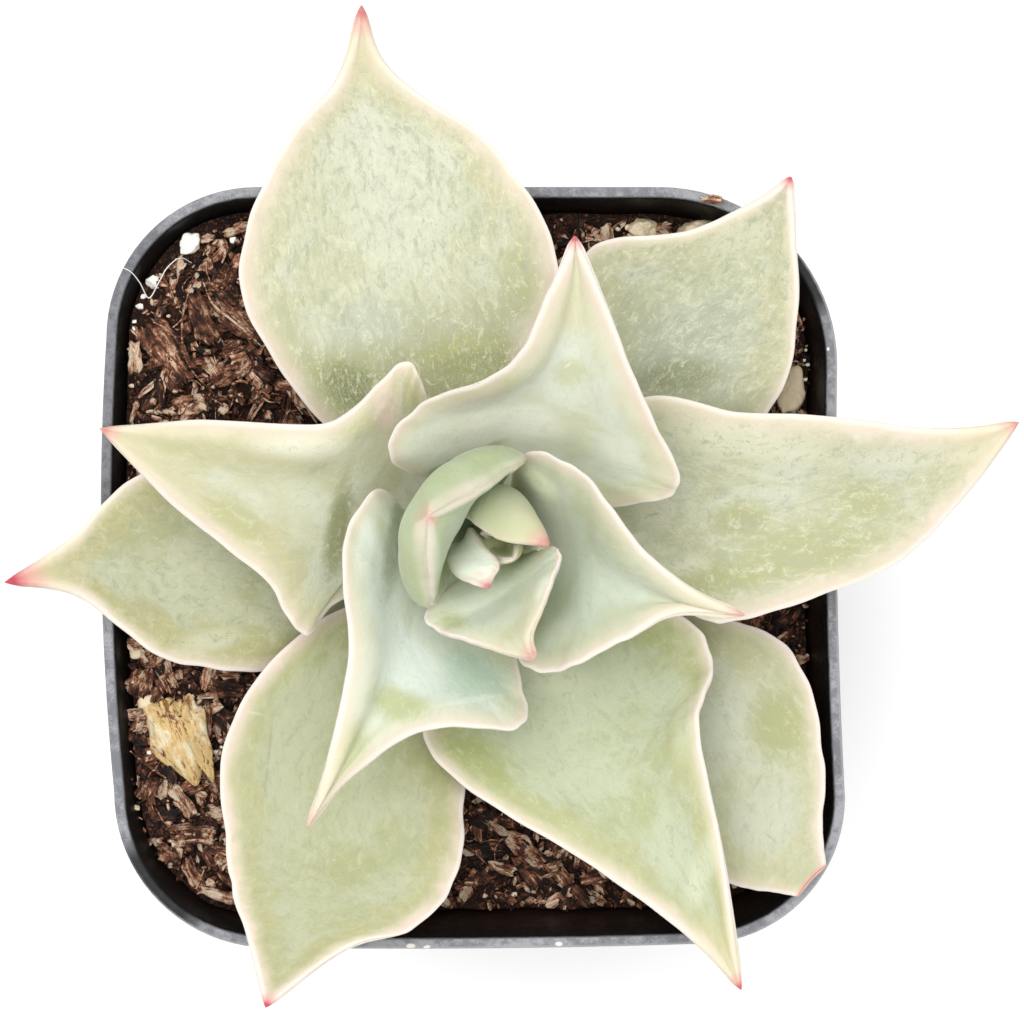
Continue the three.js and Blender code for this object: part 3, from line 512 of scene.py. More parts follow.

# How the leaves differ. flesh is a leaf's own colour, painted paler on some of the young inner leaves as
# painted light against the shade among them. olive, bloom, mottle and base are the shares of yellow and olive
# sides, of powdery bloom, of fine mottling and of the dark foot, which is olive with painted shade. side is
# where the sides end and the middle begins. band is the pale margin's width, margin its strength and blush
# the pink in it.
# tip is the pink tip's length and strength. strokes is the share of slanted strokes. Lengths are in mm.
PLAIN_LOOK = {
    "flesh": (214, 216, 188),
    "olive": 0.7,
    "bloom": 0.6,
    "mottle": 0.6,
    "base": 0.0,
    "side": (1.5, 4.5),
    "band": 1.0,
    "margin": 1.0,
    "blush": 0.4,
    "tip": (1.1, 1.0),
    "strokes": 0.0,
}
LOOKS = {
    "leaf_01_southeast_low": {
        "flesh": (206, 208, 180), "bloom": 0.4, "blush": 0.6, "tip": (0.9, 0.8), "olive": 0.6,
    },
    "leaf_02_west_low": {
        "flesh": (193, 195, 163), "bloom": 0.2, "olive": 1.0, "tip": (2.7, 1.0), "mottle": 0.9,
    },
    "leaf_03_northeast_low": {
        "flesh": (209, 211, 186), "bloom": 0.2, "mottle": 1.0, "base": 0.6, "band": 0.8, "tip": (0.8, 0.9),
        "blush": 0.2, "strokes": 0.8,
    },
    "leaf_04_southwest_low": {
        "flesh": (193, 196, 160), "bloom": 0.2, "band": 1.3, "tip": (0.9, 1.0), "blush": 0.7,
    },
    "leaf_05_north_low": {
        "flesh": (216, 217, 190), "bloom": 0.4, "mottle": 1.0, "base": 1.0, "band": 1.7, "tip": (1.9, 0.8),
        "strokes": 0.7,
    },
    "leaf_06_south": {
        "flesh": (198, 204, 169), "olive": 0.8, "band": 1.1, "blush": 0.5, "tip": (1.1, 0.9),
    },
    "leaf_07_east": {
        "flesh": (208, 209, 182), "olive": 0.5, "mottle": 0.9, "base": 0.2, "band": 1.6, "tip": (1.2, 0.65),
        "strokes": 0.4,
    },
    "leaf_08_west": {
        "flesh": (220, 220, 193), "mottle": 0.5, "band": 1.2, "tip": (1.4, 0.7), "blush": 0.5,
    },
    "leaf_09_southwest": {
        "flesh": (230, 237, 220), "mottle": 0.3, "olive": 0.6, "tip": (1.6, 0.35), "band": 1.1,
    },
    "leaf_10_north": {
        "flesh": (236, 239, 218), "mottle": 0.35, "olive": 0.6, "tip": (0.9, 0.9), "blush": 0.6,
        "band": 1.4,
    },
    "leaf_11_east": {
        "flesh": (214, 221, 197), "mottle": 0.4, "olive": 0.5, "tip": (1.2, 0.5), "band": 1.2,
    },
    "leaf_12_south_cup": {
        "flesh": (244, 251, 230), "olive": 0.4, "mottle": 0.35, "side": (0.8, 2.5), "band": 0.5,
        "tip": (1.3, 0.5),
    },
    "leaf_13_west_cup": {
        "flesh": (184, 197, 162), "olive": 0.4, "mottle": 0.3, "side": (1.0, 3.0), "band": 0.35,
        "margin": 0.15, "tip": (0.6, 0.3),
    },
    "leaf_14_east_cup": {
        "flesh": (206, 217, 184), "olive": 0.3, "mottle": 0.2, "side": (0.5, 2), "band": 0.35,
        "margin": 0.5, "tip": (1.2, 0.6),
    },
    "leaf_15_south_bud": {
        "flesh": (262, 266, 246), "olive": 0.3, "mottle": 0.2, "side": (0.5, 1.6), "band": 0.4,
        "tip": (0.8, 0.8),
    },
}
BUD_LOOK = {
    "flesh": (216, 226, 170), "bloom": 0.1, "mottle": 0.2, "side": (0.4, 1.2), "band": 0.3, "tip": (0.1, 0),
}

# Marks on the leaves: what is added to the leaf's own colour, pixel across and down, half width and half
# height in pixels, turn in degrees and strength. Many are painted light and shade: the light and glow marks
# are painted light, apart from a few thin pale scratches, and the deep, creased and blue shade marks are
# painted shade, on steep walls and where leaves lie against and under each other. The olive and greyed
# marks are partly the leaf's own colour and partly painted shade. The powder, rosy and pink marks are the
# leaf's own colour.
MARKS = {
    "leaf_01_southeast_low": [
        (OLIVE, 779, 725, 34, 40, 0, 0.85),
        (POWDER, 722, 735, 24, 44, -10, 0.5),
        (CREASE_SHADE, 757, 783, 14, 1.8, 60, 0.45),
        (CREASE_SHADE, 771, 838, 9, 1.6, -40, 0.4),
    ],
    "leaf_02_west_low": [(PAINTED_LIGHT_AND_SCRATCHES, 212, 640, 36, 12, 10, 0.7)],
    "leaf_03_northeast_low": [
        (GREYED, 690, 340, 80, 44, 30, 0.8),
        (PAINTED_DEEP_SHADE, 678, 376, 50, 20, 6, 0.65),
        (CREASE_SHADE, 700, 330, 60, 22, 30, 0.35),
        (PAINTED_LIGHT_AND_SCRATCHES, 676, 360, 7, 2, 8, 0.6),
        (PAINTED_LIGHT_AND_SCRATCHES, 727, 300, 2.5, 2, 0, 0.6),
        (PAINTED_LIGHT_AND_SCRATCHES, 735, 240, 44, 16, 24, 0.45),
        (ROSY, 796, 302, 8, 12, 0, 0.7),
    ],
    "leaf_04_southwest_low": [
        (CREASE_SHADE, 268, 762, 42, 1.8, 84, 0.4),
        (PAINTED_LIGHT_AND_SCRATCHES, 254, 713, 9, 1.5, -12, 0.7),
        (OLIVE, 395, 845, 24, 34, -30, 0.35),
        (OLIVE, 350, 866, 34, 24, 0, 0.5),
        (CREASE_SHADE, 337, 815, 24, 1.6, 62, 0.25),
    ],
    "leaf_05_north_low": [
        (GREYED, 370, 322, 46, 26, 8, 1.0),
        (POWDER, 524, 331, 21, 18, 0, 0.6),
        (PAINTED_LIGHT_AND_SCRATCHES, 423, 219, 15, 2.5, -8, 0.45),
        (PAINTED_LIGHT_AND_SCRATCHES, 430, 182, 26, 4, -32, 0.35),
        (PAINTED_LIGHT_AND_SCRATCHES, 373, 155, 30, 3.5, 84, 0.35),
        (PAINTED_LIGHT_AND_SCRATCHES, 401, 140, 22, 3.5, -58, 0.3),
        (PAINTED_LIGHT_AND_SCRATCHES, 442, 150, 26, 11, -60, 0.35),
        (PAINTED_LIGHT_AND_SCRATCHES, 330, 300, 34, 3.5, 38, 0.3),
        (OLIVE, 513, 273, 20, 30, 0, 0.4),
        (OLIVE, 465, 355, 54, 26, 8, 1.0),
        (OLIVE, 345, 385, 40, 28, -30, 1.0),
        (PAINTED_DEEP_SHADE, 478, 362, 52, 14, 6, 0.45),
        (PAINTED_DEEP_SHADE, 352, 388, 40, 24, -32, 1.0),
    ],
    "leaf_06_south": [
        (PAINTED_LIGHT_AND_SCRATCHES, 572, 697, 3, 2.4, 0, 0.7),
        (OLIVE, 486, 752, 50, 20, -32, 0.35),
        (OLIVE, 622, 818, 30, 26, 0, 0.35),
        (PAINTED_LIGHT_AND_SCRATCHES, 684, 716, 12, 50, -6, 0.6),
        (PAINTED_LIGHT_AND_SCRATCHES, 703, 868, 13, 44, -16, 0.8),
        (PAINTED_LIGHT_AND_SCRATCHES, 560, 682, 40, 16, 0, 0.5),
        (CREASE_SHADE, 610, 720, 30, 2, -40, 0.2),
    ],
    "leaf_07_east": [
        (PAINTED_LIGHT_AND_SCRATCHES, 745, 440, 100, 22, -10, 0.8),
        (PAINTED_LIGHT_AND_SCRATCHES, 655, 506, 24, 24, 40, 0.5),
        (PAINTED_LIGHT_AND_SCRATCHES, 925, 455, 70, 12, 4, 0.6),
        (PAINTED_LIGHT_AND_SCRATCHES, 690, 568, 24, 14, 0, 0.7),
        (OLIVE, 800, 548, 90, 34, 12, 0.75),
        (OLIVE, 742, 520, 34, 20, 10, 0.9),
        (OLIVE, 724, 578, 64, 16, 8, 0.7),
        (OLIVE, 862, 500, 40, 22, 0, 0.7),
        (CREASE_SHADE, 742, 524, 26, 10, 10, 0.5),
        (PAINTED_LIGHT_AND_SCRATCHES, 857, 437, 4, 3, 0, 0.8),
        (PAINTED_LIGHT_AND_SCRATCHES, 740, 470, 60, 4, -14, 0.35),
    ],
    "leaf_08_west": [
        (PAINTED_LIGHT_AND_SCRATCHES, 308, 447, 62, 15, -2, 0.9),
        (OLIVE, 236, 520, 40, 22, -36, 0.7),
        (OLIVE, 178, 455, 40, 16, -20, 0.4),
        (ROSY, 386, 408, 15, 34, 8, 1.0),
        (CREASE_SHADE, 404, 396, 2.5, 32, 2, 0.4),
        (CREASE_SHADE, 318, 468, 12, 5, 30, 0.5),
        (POWDER, 310, 500, 34, 20, -30, 0.6),
        (PAINTED_DEEP_SHADE, 338, 530, 13, 56, -10, 0.85),
    ],
    "leaf_09_southwest": [
        (PAINTED_DEEP_SHADE, 395, 540, 10, 62, -8, 0.75),
        (PAINTED_LIGHT_AND_SCRATCHES, 366, 545, 12, 40, -10, 0.8),
        (OLIVE, 398, 704, 36, 20, -20, 1.0),
        (OLIVE, 348, 750, 24, 32, -24, 1.0),
        (BLUE_SHADE, 474, 676, 38, 38, 20, 0.8),
        (POWDER, 416, 668, 28, 34, 24, 0.8),
        (PAINTED_LIGHT_AND_SCRATCHES, 470, 700, 40, 3, 8, 0.4),
    ],
    "leaf_10_north": [
        (SIDE, 572, 300, 24, 50, 10, 0.8),
        (OLIVE, 572, 372, 22, 18, 30, 0.6),
        (OLIVE, 484, 390, 40, 14, 24, 0.8),
        (PAINTED_LIGHT_AND_SCRATCHES, 568, 365, 6, 1.6, 40, 0.5),
        (PAINTED_LIGHT_AND_SCRATCHES, 450, 436, 66, 24, 18, 1.0),
        (STRONG_PAINTED_LIGHT, 478, 420, 52, 10, 12, 0.8),
        (PAINTED_DEEP_SHADE, 458, 461, 56, 4, 24, 0.7),
        (PAINTED_LIGHT_AND_SCRATCHES, 525, 424, 40, 24, -10, 1.0),
        (PAINTED_LIGHT_AND_SCRATCHES, 620, 450, 24, 20, 30, 0.5),
        (ROSY, 470, 402, 40, 8, 24, 0.6),
    ],
    "leaf_11_east": [
        (STRONG_PAINTED_LIGHT, 538, 482, 26, 20, -50, 1.0),
        (STRONG_PAINTED_LIGHT, 546, 508, 12, 20, 10, 0.5),
        (PAINTED_LIGHT_AND_SCRATCHES, 552, 530, 20, 50, 10, 1.0),
        (PAINTED_LIGHT_AND_SCRATCHES, 560, 630, 22, 24, 0, 0.6),
        (POWDER, 590, 600, 30, 34, 30, 0.7),
    ],
    "leaf_12_south_cup": [
        (OLIVE, 512, 632, 14, 9, 60, 0.5),
        (POWDER, 482, 612, 26, 12, 10, 0.7),
        (PAINTED_LIGHT_AND_SCRATCHES, 546, 600, 12, 34, 14, 0.8),
        (OLIVE, 452, 622, 16, 12, 30, 0.8),
    ],
    "leaf_13_west_cup": [
        (PINK, 428, 518, 10, 8, 0, 1.0),
        (PAINTED_LIGHT_AND_SCRATCHES, 432, 548, 9, 20, 6, 1.0),
        (PAINTED_LIGHT_AND_SCRATCHES, 433, 568, 10, 26, 0, 0.9),
        (OLIVE, 440, 484, 18, 9, 30, 0.6),
    ],
    "leaf_14_east_cup": [
        (PINK, 533, 531, 9, 6, -40, 0.9),
        (PAINTED_LIGHT_AND_SCRATCHES, 520, 512, 20, 8, -50, 0.5),
    ],
    "leaf_15_south_bud": [(PINK, 480, 574, 6, 5, 0, 1.0)],
}

# Scratches and specks on the pot's rim: pixel across and down, half width, half height and turn
RIM_MARKS = [(411, 946, 5, 2.5, 0), (427, 947, 4, 2, 10), (559, 944, 4, 2.5, 0), (828, 349, 1.5, 2, 0)]
# Where the rim is darker: pixel across and down, how far in pixels, and how strongly
RIM_DARK_PLACES = [(150, 893, 64, 1.0), (795, 262, 62, 1.0), (112, 400, 190, 0.4)]
# A chip that lies on the rim, as in BARK_PIECES
RIM_CHIP = (712, 200, 25, 9, -8, 0.95)


# Places


def pixel_size(height):
    """mm on a level plane at that height for each pixel of the photograph."""
    return PIXEL * (CAMERA_ABOVE_RIM - (height - POT_HEIGHT)) / CAMERA_ABOVE_RIM


def at_pixel(px, py, height):
    """The point in mm that the photograph's pixel shows at that height."""
    size = pixel_size(height)
    return CAMERA_X + (px - PHOTO_CENTRE[0]) * size, CAMERA_Y - (py - PHOTO_CENTRE[1]) * size


def on_mix(px, py, lift=0.0):
    """The point above the bark mix that the photograph's pixel shows."""
    height = SOIL_LEVEL
    for _ in range(4):
        x, y = at_pixel(px, py, height)
        height = soil_height(x, y) + lift
    return x, y, height


def smooth(x):
    c = min(max(x, 0), 1)
    return c * c * (3 - 2 * c)


# Meshes


def new_piece(name, points, faces, material, values=None):
    """A smooth-shaded mesh of points in mm. values are named numbers or vectors, one for each point."""
    mesh = bpy.data.meshes.new(name)
    mesh.from_pydata((np.asarray(points, float) * MM).tolist(), [], faces)
    for key, value in (values or {}).items():
        value = np.asarray(value, np.float32)
        kind, field = ("FLOAT", "value") if value.ndim == 1 else ("FLOAT_VECTOR", "vector")
        mesh.attributes.new(key, kind, "POINT").data.foreach_set(field, value.ravel())
    mesh.shade_smooth()
    mesh.materials.append(material)
    piece = bpy.data.objects.new(name, mesh)
    bpy.context.scene.collection.objects.link(piece)
    return piece


def stand_for(piece, slot, *nodes):
    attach(piece, "root")
    if nodes:
        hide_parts(*nodes)


def skin_faces(rings, count):
    """Quads between rings of points, and a fan over each end to the two points that follow the rings."""
    faces = []
    for j in range(rings - 1):
        for i in range(count):
            a, b = j * count + i, j * count + (i + 1) % count
            faces.append((a, b, b + count, a + count))
    first, last = rings * count, rings * count + 1
    top = (rings - 1) * count
    for i in range(count):
        faces.append((first, (i + 1) % count, i))
        faces.append((last, top + i, top + (i + 1) % count))
    return faces


def skin(rings, first, last):
    """The points and faces of a closed surface through rings of points, with a fan over each end."""
    points = np.vstack([np.vstack(rings), [first], [last]])
    return points, skin_faces(len(rings), len(rings[0]))


def fractal(points, size, octaves=3):
    """Smooth noise from about -1 to 1 at each point, with lumps of that size in mm."""
    return np.array([noise.fractal(Vector(p) / size, 1.0, 2.0, octaves) for p in np.asarray(points)])


def unit(vectors):
    return vectors / np.maximum(np.linalg.norm(vectors, axis=-1, keepdims=True), 1e-9)


def line_through(points, along):
    """The smooth line through points, at each share of the way from 0 to 1."""
    points = np.array(points, float)
    padded = np.vstack([2 * points[0] - points[1], points, 2 * points[-1] - points[-2]])
    place = np.clip(along, 0, 1) * (len(points) - 1)
    start = np.minimum(place.astype(int), len(points) - 2)
    w = (place - start)[:, None]
    before, a, b, after = (padded[start + k] for k in range(4))
    leave, arrive = (b - before) / 2, (after - a) / 2
    return a + w * (leave + w * (3 * (b - a) - 2 * leave - arrive + w * (2 * (a - b) + leave + arrive)))


# Leaves


def flat_blade(leaf, across, along):
    """The blade's middle surface before its halves are rolled, as rows along by stations across."""
    rib, left, right = (line_through([row[k] for row in leaf["rows"]], along)[:, None] for k in range(3))
    reach = across[None, :, None]
    return rib + reach * (right - left) / 2 + abs(reach) ** CUP_POWER * ((left + right) / 2 - rib)


def blade(leaf, across, along):
    """The blade's middle surface, the way up from it and the way across it."""
    step = 0.01
    inside = np.clip(along, step, 1 - step)
    across_way = flat_blade(leaf, across + step, inside) - flat_blade(leaf, across - step, inside)
    along_way = flat_blade(leaf, across, inside + step) - flat_blade(leaf, across, inside - step)
    up = unit(np.cross(across_way, along_way))
    crest = 4 * across**2 * (1 - across**2) * np.sin(math.pi * along)[:, None]
    roll = np.where(across < 0, leaf["roll"][0], leaf["roll"][1]) * crest
    return flat_blade(leaf, across, along) + roll[..., None] * up, up, unit(across_way)


def margin_waves(across, along, seed):
    """Small uneven moves of the two margins, out and up, that die away towards the rib and the ends."""
    turns = np.random.default_rng(seed).uniform(0, 2 * math.pi, (2, 2, 3))
    side = (across > 0).astype(int)
    fade = abs(across) ** 6 * np.sqrt(np.sin(math.pi * along))[:, None]
    moves = []
    for way in range(2):
        waves = [
            share * np.sin(beat * along[:, None] + turns[way, side, k])
            for k, (beat, share) in enumerate([(19, 1), (41, 0.6), (83, 0.35)])
        ]
        moves.append(MARGIN_WAVE * sum(waves) * fade)
    return moves[0] * np.sign(across), moves[1]


def leaf_section(leaf, across, along):
    """The blade's thickness: thin at the margins, except that a plump leaf keeps its fullness."""
    plain = leaf["thickness"] * (TIP_THICKNESS + (1 - TIP_THICKNESS) * (1 - along**3))
    body = plain + leaf.get("plump", 0) * np.sin(math.pi * along**2)
    if not leaf.get("blunt"):
        body = body * np.sqrt(np.minimum((1 - along) / TIP_TAPER, 1))
    crown = np.sqrt(1 - abs(across) ** 3) if "plump" in leaf else 1 - across**2
    margin = np.minimum(body, MARGIN_THICKNESS)[:, None] * np.sqrt(1 - abs(across) ** 12)
    return margin + np.maximum(body - MARGIN_THICKNESS, 0)[:, None] * crown


def leaf_skin(leaf, rows, stations, seed):
    """A leaf's points and faces, and for each point its distance in mm to the margin and to the tip, and its
    place on the blade in mm (across, along, 0 above or 5 below)."""
    across = np.sin(np.linspace(-math.pi / 2, math.pi / 2, stations))
    along = np.linspace(0, LAST_RING, rows + 1)
    middle, up, outwards = blade(leaf, across, along)
    width = np.linalg.norm(middle[:, -1] - middle[:, 0], axis=1)
    out, lift = margin_waves(across, along, seed) * np.minimum(width / BROAD_LEAF, 1)[:, None]
    middle = middle + out[..., None] * outwards + lift[..., None] * up
    height = leaf_section(leaf, across, along)[..., None] * up

    steps = np.linalg.norm(np.diff(middle, axis=1), axis=2)
    walked = np.hstack([np.zeros((len(along), 1)), np.cumsum(steps, axis=1)])
    edge = np.minimum(walked, walked[:, -1:] - walked)
    sideways = walked - walked[:, -1:] / 2
    base_point, tip_point = middle[0, stations // 2], np.array(leaf["rows"][-1][0])
    length = np.linalg.norm(tip_point - base_point)
    forwards = np.repeat(along[:, None] * length, stations, axis=1)
    tip = length - forwards if leaf.get("blunt") else np.linalg.norm(middle - tip_point, axis=2)

    above = middle + ABOVE * height
    below = middle - BELOW * height
    rings = np.concatenate([above, below[:, -2:0:-1]], axis=1)

    def around(upper, under):
        ring = np.concatenate([upper, under[:, -2:0:-1]], axis=1).ravel()
        return np.append(ring, [upper[0, stations // 2], upper[-1, stations // 2]])

    points, faces = skin(list(rings), base_point, tip_point)
    under = np.full_like(edge, 5.0)
    flow = np.stack([around(sideways, sideways), around(forwards, forwards), around(0 * edge, under)], axis=1)
    return points, faces, {"edge": around(edge, edge), "tip": around(tip, tip), "flow": flow}


def spot(tree, px, py):
    """Where the camera's line through the photograph's pixel meets a surface."""
    eye = Vector((CAMERA_X, CAMERA_Y, POT_HEIGHT + CAMERA_ABOVE_RIM))
    target = Vector((*at_pixel(px, py, POT_HEIGHT), POT_HEIGHT))
    return tree.ray_cast(eye, (target - eye).normalized())[0]


def make_leaf(name, seed):
    points, faces, values = leaf_skin(LEAVES[name], LEAF_ROWS, LEAF_STATIONS, seed)
    tree = BVHTree.FromPolygons(points.tolist(), faces)
    marks = [(change, spot(tree, px, py), *rest) for change, px, py, *rest in MARKS.get(name, [])]
    look = {**PLAIN_LOOK, **LOOKS[name], "blunt": LEAVES[name].get("blunt", False)}
    material = leaf_material(name, look, seed, marks)
    stand_for(new_piece(name + "_fine", points, faces, material, values), "leaf", name)


# Pot


def pot_outline(z, out):
    """The lip's outer face carried down to a height and moved out, as points going round anticlockwise."""
    share = z / POT_HEIGHT
    scale = FOOT_SCALE + (1 - FOOT_SCALE) * share
    radii = [radius * scale + out for _, _, radius, _ in RIM_CORNERS]
    corners = [np.array([x, y]) for x, y, _, _ in RIM_CORNERS]
    centres = [corner * scale + np.sign(corner) * (out - radius) for corner, radius in zip(corners, radii)]
    points = []
    for i, (_, _, _, bulge) in enumerate(RIM_CORNERS):
        angles = np.linspace(i, i + 1, CORNER_STEPS + 1)[:, None] * math.pi / 2
        arc = centres[i] + radii[i] * np.hstack([np.cos(angles), np.sin(angles)])
        facing = np.array([math.cos(angles[-1, 0]), math.sin(angles[-1, 0])])
        following = (i + 1) % 4
        wall_end = centres[following] + radii[following] * facing
        u = np.linspace(0, 1, WALL_STEPS + 1)[1:-1, None]
        wall = arc[-1] + u * (wall_end - arc[-1]) + 4 * u * (1 - u) * bulge * share * facing
        points += [arc, wall]
    flat = np.vstack(points)
    return np.hstack([flat, np.full((len(flat), 1), z)])


def quarter(z, out, radius, start, steps=6):
    """A quarter turn of the pot's profile round (z, out), from an angle in degrees."""
    angles = [math.radians(start + 90 * k / steps) for k in range(steps + 1)]
    return [(z + radius * math.sin(a), out + radius * math.cos(a)) for a in angles]


def make_pot():
    lip_foot = POT_HEIGHT - LIP_HEIGHT
    outside, inside = -LIP_STEP, -LIP_STEP - POT_WALL
    profile = quarter(FOOT_ROUND, outside - FOOT_ROUND, FOOT_ROUND, -90)
    profile += [(z, outside) for z in np.linspace(4, lip_foot - LIP_STEP - 0.3, 12)]
    profile += [(lip_foot - LIP_STEP, outside + 0.06), (lip_foot - 0.06, -0.05), (lip_foot + 0.2, 0)]
    profile += quarter(POT_HEIGHT - LIP_ROUND, -LIP_ROUND, LIP_ROUND, 0)
    profile += quarter(POT_HEIGHT - LIP_ROUND, inside + LIP_ROUND, LIP_ROUND, 90)
    profile += [(z, inside) for z in np.linspace(lip_foot, POT_FLOOR + 1.2, 10)]
    profile += [(POT_FLOOR + 0.4, inside - 0.15), (POT_FLOOR, inside - 0.6)]
    rings = [pot_outline(z, out) for z, out in profile]
    points, faces = skin(rings, (0, 0, 0), (0, 0, POT_FLOOR))
    in_from_face = np.repeat([-out for _, out in profile], len(rings[0]))
    pot = new_piece("pot_fine", points, faces, pot_material(), {"inwards": np.append(in_from_face, [5, 5])})
    cut_drains(pot)
    stand_for(pot, "pot", "pot")


def cut_drains(pot):
    mesh = bpy.data.meshes.new("drains")
    shape = bmesh.new()
    for x, y, _, _ in RIM_CORNERS:
        place = Vector((math.copysign(DRAIN_OFFSET, x), math.copysign(DRAIN_OFFSET, y), 0)) * MM
        radius = DRAIN_RADIUS * MM
        made = bmesh.ops.create_cone(
            shape, cap_ends=True, segments=40, radius1=radius, radius2=radius, depth=DRAIN_DEPTH * MM
        )
        bmesh.ops.translate(shape, verts=made["verts"], vec=place)
    shape.to_mesh(mesh)
    shape.free()
    drains = bpy.data.objects.new("drains", mesh)
    bpy.context.scene.collection.objects.link(drains)
    cut = pot.modifiers.new("drains", "BOOLEAN")
    cut.operation, cut.object, cut.solver = "DIFFERENCE", drains, "EXACT"
    evaluated = pot.evaluated_get(bpy.context.evaluated_depsgraph_get())
    pot.data = bpy.data.meshes.new_from_object(evaluated)
    pot.modifiers.clear()
    bpy.data.objects.remove(drains)


# Bark mix


def soil_height(x, y):
    west, north, south = (smooth(reach / BANK_REACH) for reach in (-x, y, -y))
    broad = BROAD_HEAPS * math.sin(0.45 * x + 1) * math.cos(0.38 * y)
    small = SMALL_HEAPS * math.sin(1.1 * x - 0.7 * y)
    bank = WEST_BANK * west + NORTH_BANK * north * (1 - west) - SOUTH_DIP * south
    return SOIL_LEVEL + bank + broad + small


def soil_surface(x, y):
    """The height of the mix with its fine lumps, for one point."""
    lumps = noise.fractal(Vector((x, y, 3.0)) / LUMP_SIZE, 1.0, 2.0, 3)
    crumbs = noise.fractal(Vector((x, y, 9.0)) / CRUMB_SIZE, 1.0, 2.0, 3)
    return soil_height(x, y) + SOIL_LUMPS * lumps + SOIL_CRUMBS * crumbs


def soil_edge():
    """The mix's outline at its surface, with extra points for the crumbs."""
    inside = -LIP_STEP - POT_WALL - CLEARANCE
    rim = pot_outline(SOIL_LEVEL, inside)
    scale = 1 + (1 - FOOT_SCALE) / (POT_HEIGHT * FOOT_SCALE + (1 - FOOT_SCALE) * SOIL_LEVEL)
    points = []
    for a, b in zip(rim, np.roll(rim, -1, axis=0)):
        for k in range(SOIL_EDGE_STEPS):
            x, y = (a + (b - a) * k / SOIL_EDGE_STEPS)[:2]
            grow = 1 + (scale - 1) * (soil_height(x, y) - SOIL_LEVEL)
            points.append((x * grow, y * grow))
    return np.array(points)


def make_soil():
    edge = soil_edge()
    base = POT_FLOOR + CLEARANCE
    foot = pot_outline(base, -LIP_STEP - POT_WALL - CLEARANCE)[:, :2]
    spread = np.linspace(0, len(foot), len(edge), endpoint=False)
    start = spread.astype(int)
    share = (spread - start)[:, None]
    low = foot[start] * (1 - share) + np.roll(foot, -1, axis=0)[start] * share
    rings = [np.hstack([low, np.full((len(low), 1), base)])]
    hole = np.array(AXIS) + unit(edge - np.array(AXIS)) * (STEM_RADIUS + CLEARANCE)
    for k in np.linspace(1, 0, SOIL_RINGS) ** 0.8:
        flat = hole + (edge - hole) * k
        rings.append(np.array([(x, y, soil_surface(x, y)) for x, y in flat]))
    for radius, z in ROOT_HOLE:
        flat = np.array(AXIS) + unit(edge - np.array(AXIS)) * radius
        rings.append(np.hstack([flat, np.full((len(flat), 1), float(z))]))
    points, faces = skin(rings, (0, 0, base), (*AXIS, ROOT_HOLE_END))
    stand_for(new_piece("soil_fine", points, faces, soil_material()), "soil", "soil")


class Pile:
    """Many small pieces that become one mesh. tone picks a point's colour, and grain is its place in mm."""

    def __init__(self):
        self.points, self.faces, self.tones, self.grains = [], [], [], []

    def add(self, points, faces, tones, grain):
        start = len(self.points)
        self.points += list(points)
        self.faces += [tuple(start + i for i in face) for face in faces]
        self.tones += list(np.broadcast_to(tones, len(points)))
        self.grains += list(grain)

    def lay(self, chip, place, tilt_x, tilt_y, turn, tone, random):
        """Adds a chip, tilted and turned, its middle at a place, its ridges painted paler and its low parts
        darker as painted light and shade. Angles in radians.
        """
        points, faces = chip
        # painted light on the ridges and painted shade low down, by height within the piece
        tones = tone + RIDGE_PAINTED_LIGHT * points[:, 2] / abs(points[:, 2]).max()
        grain = points + random.uniform(0, 90, 3)
        self.add(turned(points, tilt_x, tilt_y, turn) + place, faces, tones, grain)

    def make(self, name, material, smooth_shaded=True):
        values = {"tone": self.tones, "grain": self.grains}
        piece = new_piece(name, self.points, self.faces, material, values)
        if not smooth_shaded:
            piece.data.shade_flat()
        return piece


def turned(points, tilt_x, tilt_y, turn):
    cx, sx, cy, sy, cz, sz = (f(a) for a in (tilt_x, tilt_y, turn) for f in (math.cos, math.sin))
    about_x = np.array([[1, 0, 0], [0, cx, -sx], [0, sx, cx]])
    about_y = np.array([[cy, 0, sy], [0, 1, 0], [-sy, 0, cy]])
    about_z = np.array([[cz, -sz, 0], [sz, cz, 0], [0, 0, 1]])
    return points @ (about_z @ about_y @ about_x).T


def crumb_of_bark(length, width, thickness, random, sides=5):
    """A small torn chip lying flat, its middle at the origin."""
    turns = (np.arange(sides) + random.uniform(-0.3, 0.3, sides)) * 2 * math.pi / sides
    reach = random.uniform(0.7, 1.1, sides)
    x = length / 2 * np.cos(turns) * reach
    y = width / 2 * np.sin(turns) * reach
    top = np.stack([x * 0.9, y * 0.8, thickness * random.uniform(0.2, 0.6, sides)], axis=1)
    under = np.stack([x, y, -thickness * random.uniform(0.3, 0.6, sides)], axis=1)
    return skin([under, top], (0, 0, -thickness * 0.5), (0, 0, thickness * 0.6))


